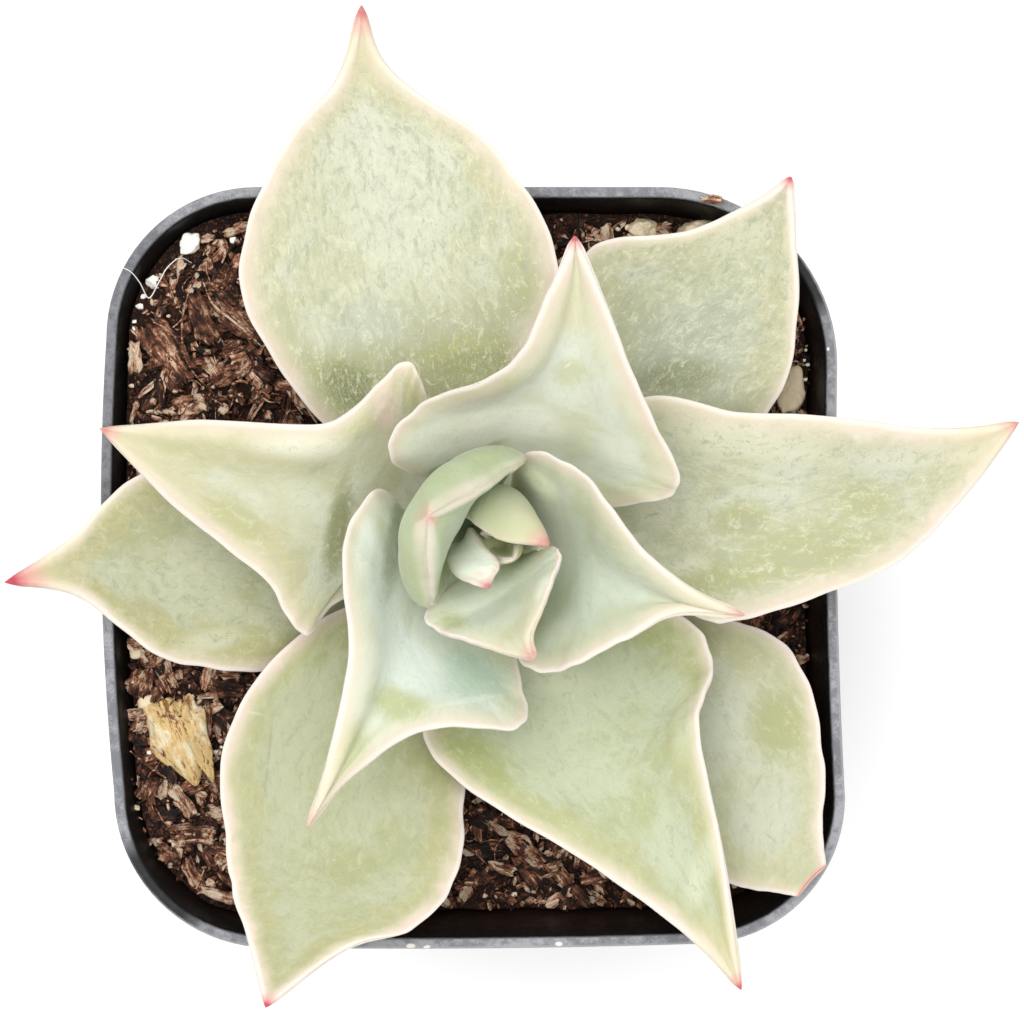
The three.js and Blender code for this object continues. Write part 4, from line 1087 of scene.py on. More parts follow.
def bark(length, width, thickness, random, rings=18, across=9):
    """A torn slab of bark lying flat, its middle at the origin: ridged along its length, with ragged ends."""
    u = np.linspace(-1, 1, rings)[:, None]
    v = np.linspace(1, -1, across)[None, :]
    turn_a, turn_b = random.uniform(0, 2 * math.pi, 2)
    taper = random.uniform(0.15, 0.6)
    wavy = 1 + 0.14 * np.sin(3 * u + turn_a) + 0.08 * np.sin(8 * u + turn_b)
    half = width / 2 * (1 - taper * abs(u) ** 3) * wavy
    ragged = np.where(u < 0, random.uniform(-0.35, 0.1, across), random.uniform(-0.35, 0.1, across))
    x = length / 2 * u * (1 + ragged * abs(u) ** 3)
    y = v * half + 0.1 * width * np.sin(2 * u + turn_b)
    ridges = random.normal(0, 0.24, across) + random.normal(0, 0.12, (rings, across))
    thin = 1 - 0.7 * abs(u) ** 5
    bend = random.uniform(-0.5, 0.8) * thickness * (u**2 - 0.4) + random.uniform(-0.3, 0.5) * thickness * v**2
    top = thickness * (0.5 * np.sqrt(1 - 0.8 * v**2) + ridges) * thin + bend
    under = -thickness * 0.5 * np.sqrt(1 - 0.8 * v**2) * thin + bend
    upper = np.stack([x, y, top], axis=2)
    lower = np.stack([x, y, np.minimum(under, top - 0.05)], axis=2)[:, -2:0:-1]
    outline = np.concatenate([upper, lower], axis=1)
    return skin(list(outline), outline[0].mean(axis=0), outline[-1].mean(axis=0))


def random_from(seed):
    """The repeatable random numbers from 0 to 1 that place the chips of the CAD mix."""
    state = seed
    while True:
        state = (state * 1664525 + 1013904223) % 4294967296
        yield state / 4294967296


def mix_chips():
    """Middle, length, width, tilts and turn of each chip of the CAD mix."""
    values = random_from(CHIP_SEED)

    def between(low, high):
        return low + (high - low) * next(values)

    loose = [place[:2] for place in [*STONES.values(), *SPLINTERS.values(), FLAKE_PLACE]]
    chips = []
    while len(chips) < CHIP_COUNT:
        x, y = between(-CHIP_SPREAD, CHIP_SPREAD), between(-CHIP_SPREAD, CHIP_SPREAD)
        into = [max(abs(v) - CHIP_CORNER[0], 0) for v in (x, y)]
        if math.hypot(*into) >= CHIP_CORNER[1] or math.dist((x, y), AXIS) <= CHIP_TO_STEM:
            continue
        if any(math.dist((x, y), piece) <= CHIP_TO_LOOSE for piece in loose):
            continue
        length, width = between(*CHIP_LENGTH), between(*CHIP_WIDTH)
        for _ in range(8):
            next(values)
        tilts = between(-CHIP_TILT, CHIP_TILT), between(-CHIP_TILT, CHIP_TILT)
        chips.append((x, y, length, width, *tilts, between(0, math.pi)))
    return chips


def in_pot(x, y, margin):
    """Whether a point lies on the mix, that far in from the wall and clear of the stem."""
    into = [
        max(abs(v - middle) - half + INSIDE["corner"], 0)
        for v, middle, half in zip((x, y), INSIDE["middle"], INSIDE["half"])
    ]
    return math.hypot(*into) < INSIDE["corner"] - margin and math.dist((x, y), AXIS) > STEM_ROOM


def within_walls(x, y, reach_x, reach_y):
    """The place for a piece that reaches so far from its middle: moved in from the walls if it has to be."""
    middle_x, middle_y = INSIDE["middle"]
    room_x, room_y = INSIDE["half"][0] - reach_x, INSIDE["half"][1] - reach_y
    x = middle_x + float(np.clip(x - middle_x, -room_x, room_x))
    y = middle_y + float(np.clip(y - middle_y, -room_y, room_y))
    while not in_pot(x, y, min(reach_x, reach_y)):
        x, y = 0.99 * x, 0.99 * y
    return x, y


def make_bark():
    """The bigger pieces: the CAD mix's chips, and those that the photograph shows."""
    random = np.random.default_rng(CHIP_SEED)
    pile = Pile()
    for x, y, length, width, tilt_x, tilt_y, turn in mix_chips():
        chip = bark(length, width, CHIP_THICKNESS, random)
        place = (x, y, soil_height(x, y) + CHIP_LIFT)
        pile.lay(chip, place, tilt_x, tilt_y, turn, random.uniform(0.1, 0.8), random)
    for px, py, length, width, turn, tone in BARK_PIECES.values():
        x, y, z = on_mix(px, py, BARK_LIFT)
        length, width = length * pixel_size(z), width * pixel_size(z)
        chip = bark(length, width, min(BARK_THICKNESS, 0.5 * width), random, rings=26, across=13)
        turn = math.radians(turn)
        c, s = abs(math.cos(turn)), abs(math.sin(turn))
        x, y = within_walls(x, y, (c * length + s * width) / 2, (s * length + c * width) / 2)
        place = (x, y, soil_height(x, y) + BARK_LIFT)
        pile.lay(chip, place, *random.normal(0, 0.12, 2), turn, tone, random)
    px, py, length, width, turn, tone = RIM_CHIP
    x, y = at_pixel(px, py, POT_HEIGHT)
    thickness = 0.4 * width * PIXEL
    chip = bark(length * PIXEL, width * PIXEL, thickness, random)
    pile.lay(chip, (x, y, POT_HEIGHT + thickness / 2), 0, 0, math.radians(turn), tone, random)
    stand_for(pile.make("bark_pieces", bark_material()), "soil")


def scatter(name, count, draw_size, draw_chip, rise, tilt, draw_tone):
    """Litter all over the mix, placed by a seeded rule. A chip rises up to rise mm above the mix."""
    random = np.random.default_rng(LITTER_SEEDS[name])
    pile = Pile()
    for _ in range(count):
        x, y = random.uniform(-MIX_REACH, MIX_REACH, 2)
        size = draw_size(random)
        if not in_pot(x, y, size * 0.4):
            continue
        chip = draw_chip(size, random)
        place = (x, y, soil_surface(x, y) + random.uniform(0, rise))
        turn = *random.normal(0, tilt, 2), random.uniform(0, 2 * math.pi)
        pile.lay(chip, place, *turn, draw_tone(random), random)
    stand_for(pile.make(name, bark_material(), smooth_shaded=False), "soil")


def make_litter():
    """Middling torn slivers at all angles over the mix, and its fine litter."""

    def sliver(length, random):
        width, thickness = length * random.uniform(*SLIVER_WIDTH), random.uniform(*SLIVER_THICKNESS)
        return bark(length, width, thickness, random, rings=7, across=4)

    def crumb(size, random):
        width, thickness = size * random.uniform(*FINE_WIDTH), random.uniform(*FINE_THICKNESS)
        return crumb_of_bark(size, width, thickness, random)

    def sliver_length(random):
        return random.uniform(*SLIVER_LENGTH)

    def crumb_size(random):
        return 0.35 + 1.1 * random.random() ** 3

    scatter("bark_slivers", SLIVERS, sliver_length, sliver, 0.55, 0.4, lambda random: random.beta(0.9, 1.3))
    scatter("bark_fines", FINES, crumb_size, crumb, 0.7, 0.6, lambda random: random.random() ** 1.1)


def tube(line, radius, sides=5, steps=14):
    """A thin thread along a smooth line through points, thinner at both ends."""
    along = np.linspace(0, 1, steps)
    middle = line_through(line, along)
    way = unit(np.gradient(middle, axis=0))
    side = unit(np.cross(way, (0.1, 0.2, 1.0)))
    other = np.cross(way, side)
    rings = []
    for k in range(steps):
        r = radius * (0.35 + 0.65 * math.sin(math.pi * (0.08 + 0.84 * along[k])))
        turns = np.arange(sides) * 2 * math.pi / sides
        rings.append(middle[k] - r * (np.outer(np.cos(turns), side[k]) - np.outer(np.sin(turns), other[k])))
    return skin(rings, middle[0], middle[-1])


def make_fibres():
    """Root threads: those that the photograph shows, and fine ones placed by a seeded rule."""
    random = np.random.default_rng(FIBRE_SEED)
    pile = Pile()
    for tone, radius, line in THREADS.values():
        points, faces = tube([on_mix(*place) for place in line], radius, sides=8, steps=40)
        pile.add(points, faces, tone, points)
    for _ in range(FIBRES):
        x, y = random.uniform(-FIBRE_SPREAD, FIBRE_SPREAD, 2)
        if not in_pot(x, y, 1.5):
            continue
        length, turn = random.uniform(*FIBRE_LENGTH), random.uniform(0, 2 * math.pi)
        line = []
        for _ in range(FIBRE_POINTS):
            turn += random.normal(0, FIBRE_BEND)
            x += math.cos(turn) * length / FIBRE_POINTS
            y += math.sin(turn) * length / FIBRE_POINTS
            line.append((x, y, soil_surface(x, y) + random.uniform(*FIBRE_LIFT)))
        if in_pot(x, y, 0.8):
            points, faces = tube(line, random.uniform(*FIBRE_RADIUS), steps=10)
            pile.add(points, faces, random.uniform(0.3, 0.95), points)
    stand_for(pile.make("root_fibres", bark_material()), "soil")


def make_hair():
    """The white hair that hangs over the rim, down onto the mix."""
    line = [(*at_pixel(px, py, height), height) for px, py, height in RIM_HAIR]
    points, faces = tube(line, HAIR_RADIUS, sides=8, steps=60)
    stand_for(new_piece("rim_hair", points, faces, stone_material("perlite")), "perlite")


# Stones, splinters and flake


def pebble(size, seed, detail):
    """A broken pebble with flat sides and worn edges, its middle at the origin."""
    shape = bmesh.new()
    bmesh.ops.create_icosphere(shape, subdivisions=detail, radius=1)
    ways = np.array([v.co for v in shape.verts])
    faces = [tuple(v.index for v in f.verts) for f in shape.faces]
    shape.free()
    random = np.random.default_rng(seed)
    sides = unit(np.vstack([np.eye(3), -np.eye(3), random.normal(size=(9, 3))]))
    distances = np.append(np.full(6, 1.0), random.uniform(0.78, 1.0, 9))
    worn = 14
    reach = ((np.maximum(ways @ sides.T, 0) / distances) ** worn).sum(axis=1) ** (-1 / worn)
    lumps = PEBBLE_LUMPS * fractal(ways + seed, 0.5, 4)
    return ways * (reach * (1 + lumps))[:, None] * np.array(size), faces


def make_stone(name, seed):
    x, y, size = STONES[name]
    points, faces = pebble(size, seed, 5)
    middle = (x, y, soil_height(x, y) + STONE_LIFT)
    kind = name.split("_")[0]
    stand_for(new_piece(name + "_fine", points + middle, faces, stone_material(kind)), kind, name)


def make_crumbs(kind):
    pile = Pile()
    for seed, (px, py, size) in enumerate(CRUMBS[kind]):
        x, y = within_walls(*on_mix(px, py)[:2], size * 0.6, size * 0.6)
        points, faces = pebble((size * 0.6, size * 0.5, size * 0.5), seed + 3, 3)
        pile.add(points + (x, y, soil_surface(x, y) + size * 0.4 + 0.3), faces, 1, points)
    stand_for(pile.make(kind + "_crumbs", stone_material(kind)), kind)


def make_splinter(name, seed):
    x, y, length, width, turn = SPLINTERS[name]
    random = np.random.default_rng(seed)
    pile = Pile()
    chip = bark(length * 0.97, width * 0.95, SPLINTER_THICKNESS * 0.8, random)
    z = soil_height(x, y) + SPLINTER_LIFT + SPLINTER_THICKNESS / 2
    pile.lay(chip, (x, y, z), 0, 0, math.radians(turn), SPLINTER_TONE, random)
    stand_for(pile.make(name + "_fine", bark_material()), "bark_chip", name)


def make_flake():
    """A crumpled papery sheet: rings from its middle out to its torn outline, above and then below."""
    middle = np.array(on_mix(*FLAKE_MIDDLE, FLAKE_LIFT))
    corners = np.array([on_mix(px, py, FLAKE_LIFT) for px, py in [*FLAKE_OUTLINE, FLAKE_OUTLINE[0]]])
    outline = line_through(corners, np.linspace(0, 1, 120, endpoint=False))
    turns = np.arctan2(*(outline - middle)[:, 1::-1].T)
    rings = []
    for k in np.linspace(0.05, 1, 26):
        ring = middle + (outline - middle) * k
        folds = turned(ring - middle, 0, 0, math.radians(FLAKE_TURN)) / (FLAKE_FOLD, 3 * FLAKE_FOLD, 1)
        crease = np.array([noise.ridged_multi_fractal(Vector((x, y, 1)), 1, 2, 3, 1, 2) for x, y, _ in folds])
        curl = FLAKE_CURL * k * np.sin(5 * turns)
        ring[:, 2] = middle[2] - FLAKE_DROOP * k**2 + FLAKE_CREASE * (crease - 1) * k + curl
        rings.append(ring)
    under = [ring - (0, 0, FLAKE_THICKNESS) for ring in rings[::-1]]
    points, faces = skin(rings + under, middle, middle - (0, 0, FLAKE_THICKNESS))
    values = {"flow": turned(points - middle, 0, 0, math.radians(FLAKE_TURN))}
    flake = new_piece("bark_flake_fine", points, faces, flake_material(), values)
    stand_for(flake, "bark_flake", "bark_flake")


# Stem


def make_stem():
    """The stem on its main root, with the newest leaves, which are still one with it."""
    turns = np.linspace(0, 2 * math.pi, 49)[:-1]
    heights = np.array([z for _, z in STEM_PROFILE], float)
    z_values = np.linspace(heights[0], heights[-1], 60)
    radii = np.interp(z_values, heights, [r for r, _ in STEM_PROFILE])
    rings = []
    for z, radius in zip(z_values, radii):
        uneven = radius * (1 + 0.03 * np.sin(5 * turns + z) + 0.02 * np.sin(3 * z))
        x, y = AXIS[0] + uneven * np.cos(turns), AXIS[1] + uneven * np.sin(turns)
        rings.append(np.stack([x, y, 0 * turns + z], axis=1))
    points, faces = skin(rings, (*AXIS, heights[0]), (*AXIS, STEM_TOP))
    far = np.full(len(points), 90.0)
    parts = [(points, faces, {"edge": far, "tip": far, "flow": points})]
    parts += [leaf_skin(leaf, 50, 25, 30 + i) for i, leaf in enumerate(BUD_LEAVES)]
    starts = np.cumsum([0] + [len(part[0]) for part in parts])
    all_faces = [tuple(start + i for i in face) for start, part in zip(starts, parts) for face in part[1]]
    values = {key: np.concatenate([part[2][key] for part in parts]) for key in ("edge", "tip", "flow")}
    material = leaf_material("stem_flesh", {**PLAIN_LOOK, **BUD_LOOK, "blunt": False}, 16, [])
    all_points = np.vstack([part[0] for part in parts])
    stand_for(new_piece("stem_fine", all_points, all_faces, material, values), "stem", "stem")


# Materials


class Nodes:
    """Adds nodes to a new material. An input is a number, a colour or another node's output."""

    def __init__(self, name):
        self.material = bpy.data.materials.new(name)
        self.material.use_nodes = True
        self.tree = self.material.node_tree
        self.shader = self.tree.nodes["Principled BSDF"]
        self.place = self.add("ShaderNodeTexCoord").outputs["Object"]

    def put(self, socket, value):
        if isinstance(value, bpy.types.NodeSocket):
            self.tree.links.new(value, socket)
        else:
            socket.default_value = value

    def add(self, kind, inputs=None, **settings):
        node = self.tree.nodes.new(kind)
        for key, value in settings.items():
            setattr(node, key, value)
        for key, value in (inputs or {}).items():
            self.put(node.inputs[key], value)
        return node

    def number(self, name):
        return self.add("ShaderNodeAttribute", attribute_name=name).outputs["Fac"]

    def vector(self, name):
        return self.add("ShaderNodeAttribute", attribute_name=name).outputs["Vector"]

    def maths(self, operation, a, b=0.0):
        return self.add("ShaderNodeMath", {0: a, 1: b}, operation=operation).outputs[0]

    def plus(self, a, b, share=1.0):
        """a with a share of b added."""
        return self.maths("ADD", a, self.maths("MULTIPLY", b, share))

    def times(self, a, b):
        return self.maths("MULTIPLY", a, b)

    def fade(self, value, start, end, low=0.0, high=1.0):
        """low where value is at start and high where it is at end, with a smooth way between them."""
        inputs = {"Value": value, "From Min": start, "From Max": end, "To Min": low, "To Max": high}
        node = self.add("ShaderNodeMapRange", inputs, interpolation_type="SMOOTHSTEP")
        return node.outputs["Result"]

    def noise(self, size, where, detail=2.0, roughness=0.5, warp=0.0):
        """Noise about 0.5, with lumps of that size in the units of where."""
        inputs = {"Vector": where, "Scale": 1 / size, "Detail": detail, "Roughness": roughness}
        return self.add("ShaderNodeTexNoise", {**inputs, "Distortion": warp}).outputs["Fac"]

    def mapping(self, where, **inputs):
        named = {key.capitalize(): value for key, value in inputs.items() if key != "kind"}
        kind = inputs.get("kind", "POINT")
        return self.add("ShaderNodeMapping", {"Vector": where, **named}, vector_type=kind).outputs["Vector"]

    def blend(self, share, a, b):
        return self.add("ShaderNodeMix", {0: share, 6: a, 7: b}, data_type="RGBA").outputs[2]

    def bump(self, height, depth, under=None):
        """A bump of that depth in mm. under is another bump that it is added to."""
        inputs = {"Height": height, "Distance": depth * MM, "Strength": 1.0}
        if under:
            inputs["Normal"] = under
        return self.add("ShaderNodeBump", inputs).outputs["Normal"]

    def finish(self, **inputs):
        for key, value in inputs.items():
            self.put(self.shader.inputs[key.replace("_", " ")], value)
        return self.material


def oval(n, middle, half_width, half_height, turn):
    """The distance from a place in mm, as a share of an oval's half width and half height in pixels."""
    size = pixel_size(middle[2]) * MM
    within = n.mapping(
        n.place,
        kind="TEXTURE",
        location=Vector(middle) * MM,
        rotation=(0, 0, math.radians(turn)),
        scale=(half_width * size, half_height * size, max(half_width, half_height) * size),
    )
    return n.add("ShaderNodeVectorMath", {0: within}, operation="LENGTH").outputs["Value"]


class LeafNodes(Nodes):
    """The nodes of a leaf's material, with its look, a point's place on the blade, and its noises."""

    def __init__(self, name, look, seed):
        super().__init__(name)
        self.look = look
        self.edge, self.tip, self.flow = self.number("edge"), self.number("tip"), self.vector("flow")
        self.on_blade = self.mapping(self.flow, location=(seed * 17.0, seed * 5.0, 0))
        self.broad = self.noise(9, self.on_blade, detail=3, roughness=0.55, warp=0.3)
        self.patchy = self.noise(2.6, self.on_blade, detail=4, roughness=0.6, warp=0.5)
        longer = self.mapping(self.on_blade, scale=(1, 0.7, 1))
        self.blotches = self.noise(0.75, longer, detail=5, roughness=0.75, warp=0.8)
        self.fine = self.noise(0.17, self.on_blade, detail=2, roughness=0.6)

    def tint(self, change):
        """The leaf's own colour with a change added."""
        return paint(*(own + more for own, more in zip(self.look["flesh"], change)))

    def over(self, body, share, change):
        """A colour with a share of the leaf's own colour over it, changed."""
        return self.blend(share, body, self.tint(change))

    def flesh(self):
        """The leaf's own colour, with powdery bloom, yellow and olive sides and a dark foot, which is olive
        with painted shade.
        """
        look, broad, patchy = self.look, self.broad, self.patchy
        powdery = self.times(self.fade(self.plus(broad, patchy, 0.3), 0.5, 0.75), look["bloom"])
        flesh = self.over(self.tint((0, 0, 0)), powdery, POWDER)
        olive = self.times(self.fade(self.plus(broad, patchy, 0.5), 0.8, 0.6), look["olive"] * 0.5)
        flesh = self.over(flesh, olive, OLIVE)
        low = self.fade(self.plus(self.tip, patchy, 8), 18, 30)
        sides = self.over(self.tint(SIDE), self.times(low, self.fade(patchy, 0.62, 0.38)), OLIVE)
        start, end = (v + 4.5 for v in look["side"])
        inner = self.fade(self.plus(self.plus(self.edge, patchy, 4.0), broad, 5.0), start, end)
        flesh = self.blend(self.times(self.fade(inner, 1, 0), look["olive"]), flesh, sides)
        along = self.add("ShaderNodeSeparateXYZ", {0: self.flow}).outputs["Y"]
        # the dark foot: olive with painted shade
        return self.over(flesh, self.fade(self.plus(along, patchy, 6), 19, 11, 0, look["base"]), OLIVE_FOOT_AND_SHADE)

    def mark(self, middle, half_width, half_height, turn, strength):
        """Where a soft-edged oval mark shows, on the leaf's upper side only."""
        ragged = self.plus(oval(self, middle, half_width, half_height, turn), self.blotches, 0.9)
        side = self.add("ShaderNodeSeparateXYZ", {0: self.flow}).outputs["Z"]
        return self.times(self.fade(ragged, 1.75, 0.85, 0, strength), self.fade(side, 2, 0.5))

    def mottled(self, flesh):
        """A colour with slanted strokes where the leaf has them, pale streaks and creases of painted shade,
        and fine specks over it.
        """
        mottle, strength = self.look["mottle"], self.look["strokes"]
        if strength:
            slanted = self.mapping(self.on_blade, rotation=(0, 0, STROKE_TURN), scale=(1, 0.45, 1))
            strokes = self.noise(0.6, slanted, detail=4, roughness=0.72, warp=0.8)
            flesh = self.over(flesh, self.fade(strokes, 0.55, 0.7, 0, strength), LIGHT_SPECK)
            # the dark side of the strokes: painted shade in fine creases
            flesh = self.over(flesh, self.fade(strokes, 0.48, 0.34, 0, strength), CREASE_SHADE)
        specks = self.plus(self.blotches, self.fine, 0.3)
        flesh = self.over(flesh, self.fade(specks, 0.65, 0.85, 0, mottle), LIGHT_SPECK)
        return self.over(flesh, self.fade(specks, 0.65, 0.47, 0, mottle), DARK_SPECK)

    def edged(self, body):
        """A colour with a beige and rosy band along the margins, and a cream line round them."""
        band, margin = self.look["band"], self.look["margin"]
        near = self.plus(self.edge, self.patchy, band * 1.2)
        body = self.blend(self.fade(near, band * 2.0, band * 0.6, 0, 0.75 * margin), body, BEIGE)
        rosy = self.times(self.fade(near, band * 1.4, band * 0.6), self.fade(self.broad, 0.35, 0.6))
        body = self.blend(self.times(rosy, self.look["blush"]), body, ROSE)
        line = 0.3 + 0.3 * min(band, 1)
        outermost = self.fade(self.plus(self.edge, self.blotches, 0.3), line, 0.2, 0, 0.85 * margin)
        return self.blend(outermost, body, CREAM)

    def tipped(self, body):
        """A colour with a yellow, pink and red tip, and a scar on a blunt one."""
        reach, strength = self.look["tip"]
        body = self.blend(self.fade(self.tip, 8, 2, 0, 0.5 if reach > 1 else 0.0), body, TIP_YELLOW)
        uneven = self.plus(self.tip, self.patchy, reach * 0.4)
        body = self.blend(self.fade(uneven, reach * 1.7, reach * 0.7, 0, 0.8 * strength), body, TIP_PINK)
        body = self.blend(self.fade(uneven, reach * 0.95, reach * 0.45, 0, strength**2), body, TIP_RED)
        if self.look["blunt"]:
            body = self.blend(self.fade(self.tip, 0.3, 0.12), body, SCAR)
        return body


def leaf_material(name, look, seed, marks):
    """Waxy flesh: powdery bloom, yellow and olive sides, mottling, pale and pink margins, a red tip, and
    marks, many of them painted light and shade.
    """
    n = LeafNodes(name, look, seed)
    flesh = n.flesh()
    for change, *mark in marks:
        flesh = n.over(flesh, n.mark(*mark), change)
    relief = n.bump(n.patchy, 0.10)
    relief = n.bump(n.blotches, 0.03, relief)
    relief = n.bump(n.fine, 0.012, relief)
    return n.finish(
        Base_Color=n.tipped(n.edged(n.mottled(flesh))),
        Roughness=n.fade(n.patchy, 0.3, 0.7, 0.46, 0.62),
        Normal=relief,
        Subsurface_Weight=0.18,
        Subsurface_Scale=1.2 * MM,
        Subsurface_Radius=(1.0, 1.0, 0.45),
        Specular_IOR_Level=0.35,
        Sheen_Weight=0.12,
        Sheen_Roughness=0.5,
    )


def pot_material():
    """Thin black plastic: fine grain, a scuffed grey rim with a painted highlight along its outer edge,
    stronger on one side, and mix smeared on the wall above the soil.
    """
    n = Nodes("pot_plastic")
    axes = n.add("ShaderNodeSeparateXYZ", {0: n.place}).outputs
    scuffs = n.noise(0.9 * MM, n.place, detail=5, roughness=0.75)
    grain = n.noise(0.16 * MM, n.place, detail=2)
    dust = n.noise(6 * MM, n.place, detail=3)
    inwards = n.number("inwards")
    worn = n.fade(n.plus(n.plus(scuffs, dust, 0.5), grain, 0.25), 0.75, 1.02)
    rim = n.blend(worn, RIM_GREY, RIM_SCUFF)
    for px, py, half, strength in RIM_DARK_PLACES:
        away = n.plus(oval(n, (*at_pixel(px, py, POT_HEIGHT), POT_HEIGHT), half, half, 0), dust, 0.6)
        rim = n.blend(n.fade(away, 1.5, 0.9, 0, strength), rim, RIM_DARK)
    # A painted highlight along the rim's outer rounding, stronger towards one side.
    lit = n.fade(n.maths("SUBTRACT", axes["X"], axes["Y"]), -5 * MM, 5 * MM, 0.15, 0.7)
    line = n.fade(n.plus(inwards, scuffs, 0.2), 0.38, 0.2)
    rim = n.blend(n.times(line, lit), rim, RIM_HIGHLIGHT)
    for px, py, half_width, half_height, turn in RIM_MARKS:
        middle = (*at_pixel(px, py, POT_HEIGHT), POT_HEIGHT)
        ragged = n.plus(oval(n, middle, half_width, half_height, turn), scuffs, 0.8)
        rim = n.blend(n.fade(ragged, 1.5, 1.1), rim, CREAM)
    on_top = n.fade(axes["Z"], (POT_HEIGHT - 0.3) * MM, (POT_HEIGHT - 0.05) * MM)
    outer = n.fade(n.plus(inwards, scuffs, 0.25), 1.05, 0.85)
    wall = n.blend(n.fade(dust, 0.5, 0.75, 0, 0.35), POT_BLACK, POT_DUSTY)
    smeared = n.fade(n.plus(axes["Z"], scuffs, 6 * MM), (SOIL_LEVEL + 8) * MM, (SOIL_LEVEL + 4) * MM)
    wall = n.blend(n.times(smeared, n.fade(inwards, 0.8, 0.95, 0, 0.7)), wall, SOIL_BROWN)
    colour = n.blend(n.times(on_top, outer), wall, rim)
    relief = n.bump(grain, 0.012, n.bump(scuffs, 0.03))
    rough = n.fade(scuffs, 0.3, 0.7, 0.42, 0.6)
    return n.finish(Base_Color=colour, Roughness=rough, Normal=relief, Specular_IOR_Level=0.25)


def soil_material():
    n = Nodes("soil_mix")
    lumps = n.noise(1.6 * MM, n.place, detail=5, roughness=0.7)
    crumbs = n.noise(0.35 * MM, n.place, detail=4, roughness=0.75, warp=1.0)
    colour = n.blend(n.fade(lumps, 0.4, 0.65), SOIL_DARK, SOIL_BROWN)
    colour = n.blend(n.fade(crumbs, 0.5, 0.62), colour, SOIL_RED)
    colour = n.blend(n.fade(crumbs, 0.6, 0.7), colour, BARK_BROWN)
    relief = n.bump(crumbs, 0.25, n.bump(lumps, 0.4))
    return n.finish(Base_Color=colour, Roughness=0.9, Normal=relief, Specular_IOR_Level=0.25)


def bark_material():
    """Torn bark, from near black to pale tan by each piece's tone, streaked along its grain."""
    if "bark" in bpy.data.materials:
        return bpy.data.materials["bark"]
    n = Nodes("bark")
    tone, grain = n.number("tone"), n.vector("grain")
    streaks = n.noise(0.3, n.mapping(grain, scale=(0.2, 1, 1)), detail=4, roughness=0.75, warp=0.3)
    threads = n.noise(0.11, n.mapping(grain, scale=(0.1, 1, 1)), detail=3, roughness=0.8)
    blots = n.noise(1.1, grain, detail=2)
    shade = n.plus(n.plus(n.plus(tone, streaks, 2.4), threads, 1.4), blots, 1.6)
    ramp = n.add("ShaderNodeValToRGB", {0: n.maths("SUBTRACT", shade, 2.72)})
    stops = ramp.color_ramp.elements
    stops[0].position, stops[0].color = 0.0, BARK_BLACK
    stops[1].position, stops[1].color = 1.0, BARK_PALE
    for place, colour in [(0.3, BARK_DARK), (0.6, BARK_RED), (0.78, BARK_BROWN), (0.92, BARK_TAN)]:
        stops.new(place).color = colour
    relief = n.bump(threads, 0.08, n.bump(streaks, 0.2))
    return n.finish(Base_Color=ramp.outputs["Color"], Roughness=0.75, Normal=relief, Specular_IOR_Level=0.35)


def stone_material(kind):
    """Pumice is cream to tan and full of small pores; perlite is white and finer."""
    if kind in bpy.data.materials:
        return bpy.data.materials[kind]
    n = Nodes(kind)
    light, dark = {"pumice": (PUMICE_CREAM, PUMICE_TAN), "perlite": (PERLITE_WHITE, PERLITE_GREY)}[kind]
    patches = n.noise(0.8 * MM, n.place, detail=4, roughness=0.7)
    pores = n.add("ShaderNodeTexVoronoi", {"Vector": n.place, "Scale": 1 / (0.25 * MM)}).outputs["Distance"]
    pit = n.fade(pores, 0.0, 0.35)
    colour = n.blend(n.fade(patches, 0.4, 0.65), light, dark)
    colour = n.blend(n.fade(pores, 0.22, 0.0, 0, 0.5), colour, PORE_BROWN)
    relief = n.bump(pit, 0.06, n.bump(patches, 0.15))
    return n.finish(Base_Color=colour, Roughness=0.9, Normal=relief, Specular_IOR_Level=0.2)


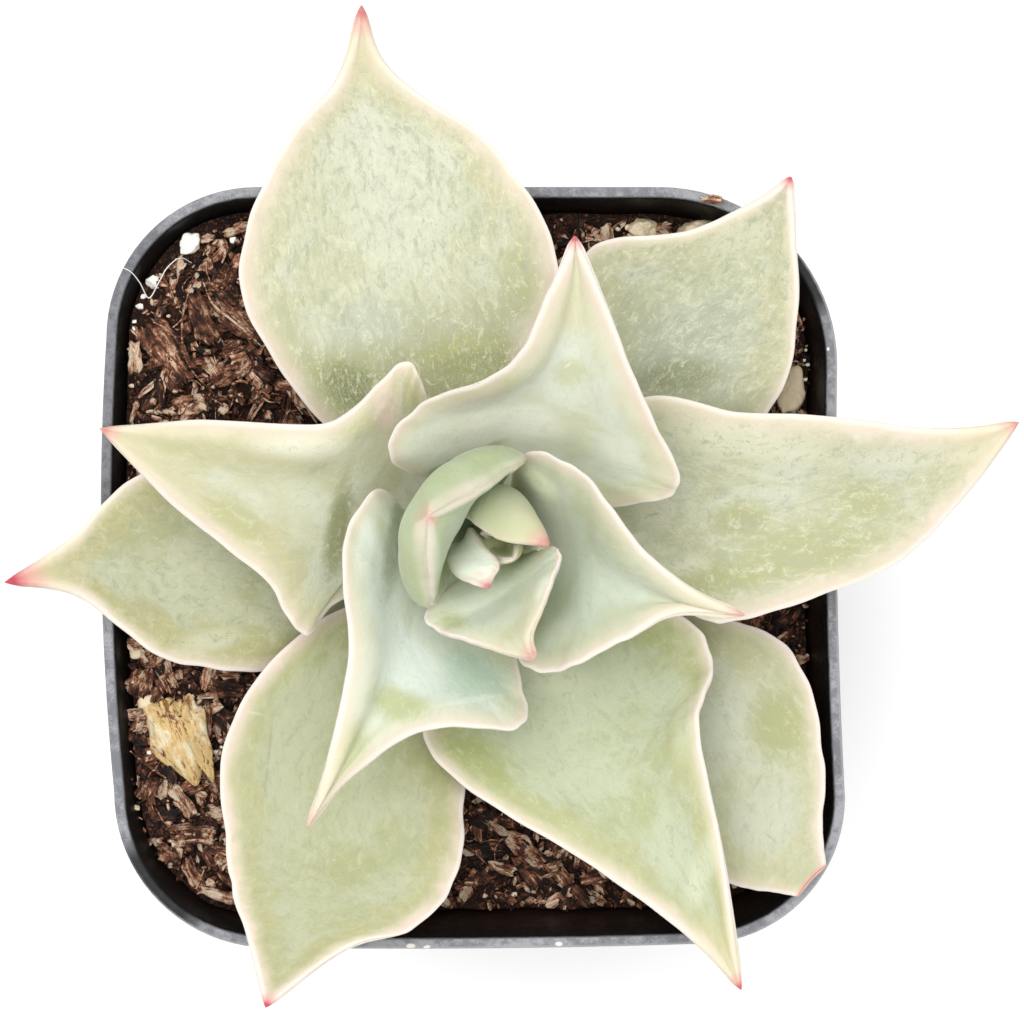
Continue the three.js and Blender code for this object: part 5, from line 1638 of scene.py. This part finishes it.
def flake_material():
    n = Nodes("papery_bark")
    flow = n.vector("flow")
    veins = n.noise(0.35, n.mapping(flow, scale=(1, 0.25, 1)), detail=4, roughness=0.75, warp=0.6)
    patches = n.noise(1.4, n.mapping(flow, scale=(1, 0.5, 1)), detail=4, roughness=0.7, warp=0.5)
    colour = n.blend(n.fade(patches, 0.5, 0.6), FLAKE_GOLD, FLAKE_PALE)
    colour = n.blend(n.fade(n.plus(veins, patches, 0.7), 0.8, 0.68), colour, FLAKE_BROWN)
    return n.finish(Base_Color=colour, Roughness=0.6, Normal=n.bump(veins, 0.25), Specular_IOR_Level=0.35)


# Stage


def make_camera():
    height = POT_HEIGHT + CAMERA_ABOVE_RIM
    data = bpy.data.cameras.new("camera")
    data.sensor_width = SENSOR
    data.lens = SENSOR * CAMERA_ABOVE_RIM / (PHOTO_WIDTH * PIXEL)
    data.clip_start, data.clip_end = 0.01, 20
    camera = bpy.data.objects.new("camera", data)
    camera.location = (CAMERA_X * MM, CAMERA_Y * MM, height * MM)
    bpy.context.scene.collection.objects.link(camera)
    bpy.context.scene.camera = camera


def make_light(name, place, width, watts):
    data = bpy.data.lights.new(name, "AREA")
    data.shape = "SQUARE"
    data.size = width
    data.energy = watts
    light = bpy.data.objects.new(name, data)
    light.location = place
    light.rotation_mode = "QUATERNION"
    light.rotation_quaternion = (-Vector(place)).to_track_quat("-Z", "Y")
    bpy.context.scene.collection.objects.link(light)


def make_stage():
    n = Nodes("floor")
    soft = n.noise(0.2, n.place, detail=2)
    n.finish(Base_Color=n.blend(soft, FLOOR_WHITE, FLOOR_GREY), Roughness=0.8)
    corners = [(x * FLOOR_HALF, y * FLOOR_HALF, 0) for x, y in [(-1, -1), (1, -1), (1, 1), (-1, 1)]]
    new_piece("floor", corners, [(0, 1, 2, 3)], n.material)
    world = bpy.data.worlds.new("studio")
    world.use_nodes = True
    background = world.node_tree.nodes["Background"]
    background.inputs["Color"].default_value = (1, 1, 1, 1)
    background.inputs["Strength"].default_value = WORLD_LIGHT
    bpy.context.scene.world = world
    for name, (place, width, watts) in LAMPS.items():
        make_light(name, place, width, watts)
    bpy.context.scene.view_settings.view_transform = "Standard"


make_camera()
make_stage()
make_pot()
make_soil()
make_bark()
make_litter()
make_fibres()
make_hair()
make_stem()
for number, leaf_name in enumerate(LEAVES, start=1):
    make_leaf(leaf_name, number)
for number, stone_name in enumerate(STONES, start=1):
    make_stone(stone_name, number)
for number, splinter_name in enumerate(SPLINTERS, start=1):
    make_splinter(splinter_name, number)
for kind in CRUMBS:
    make_crumbs(kind)
make_flake()
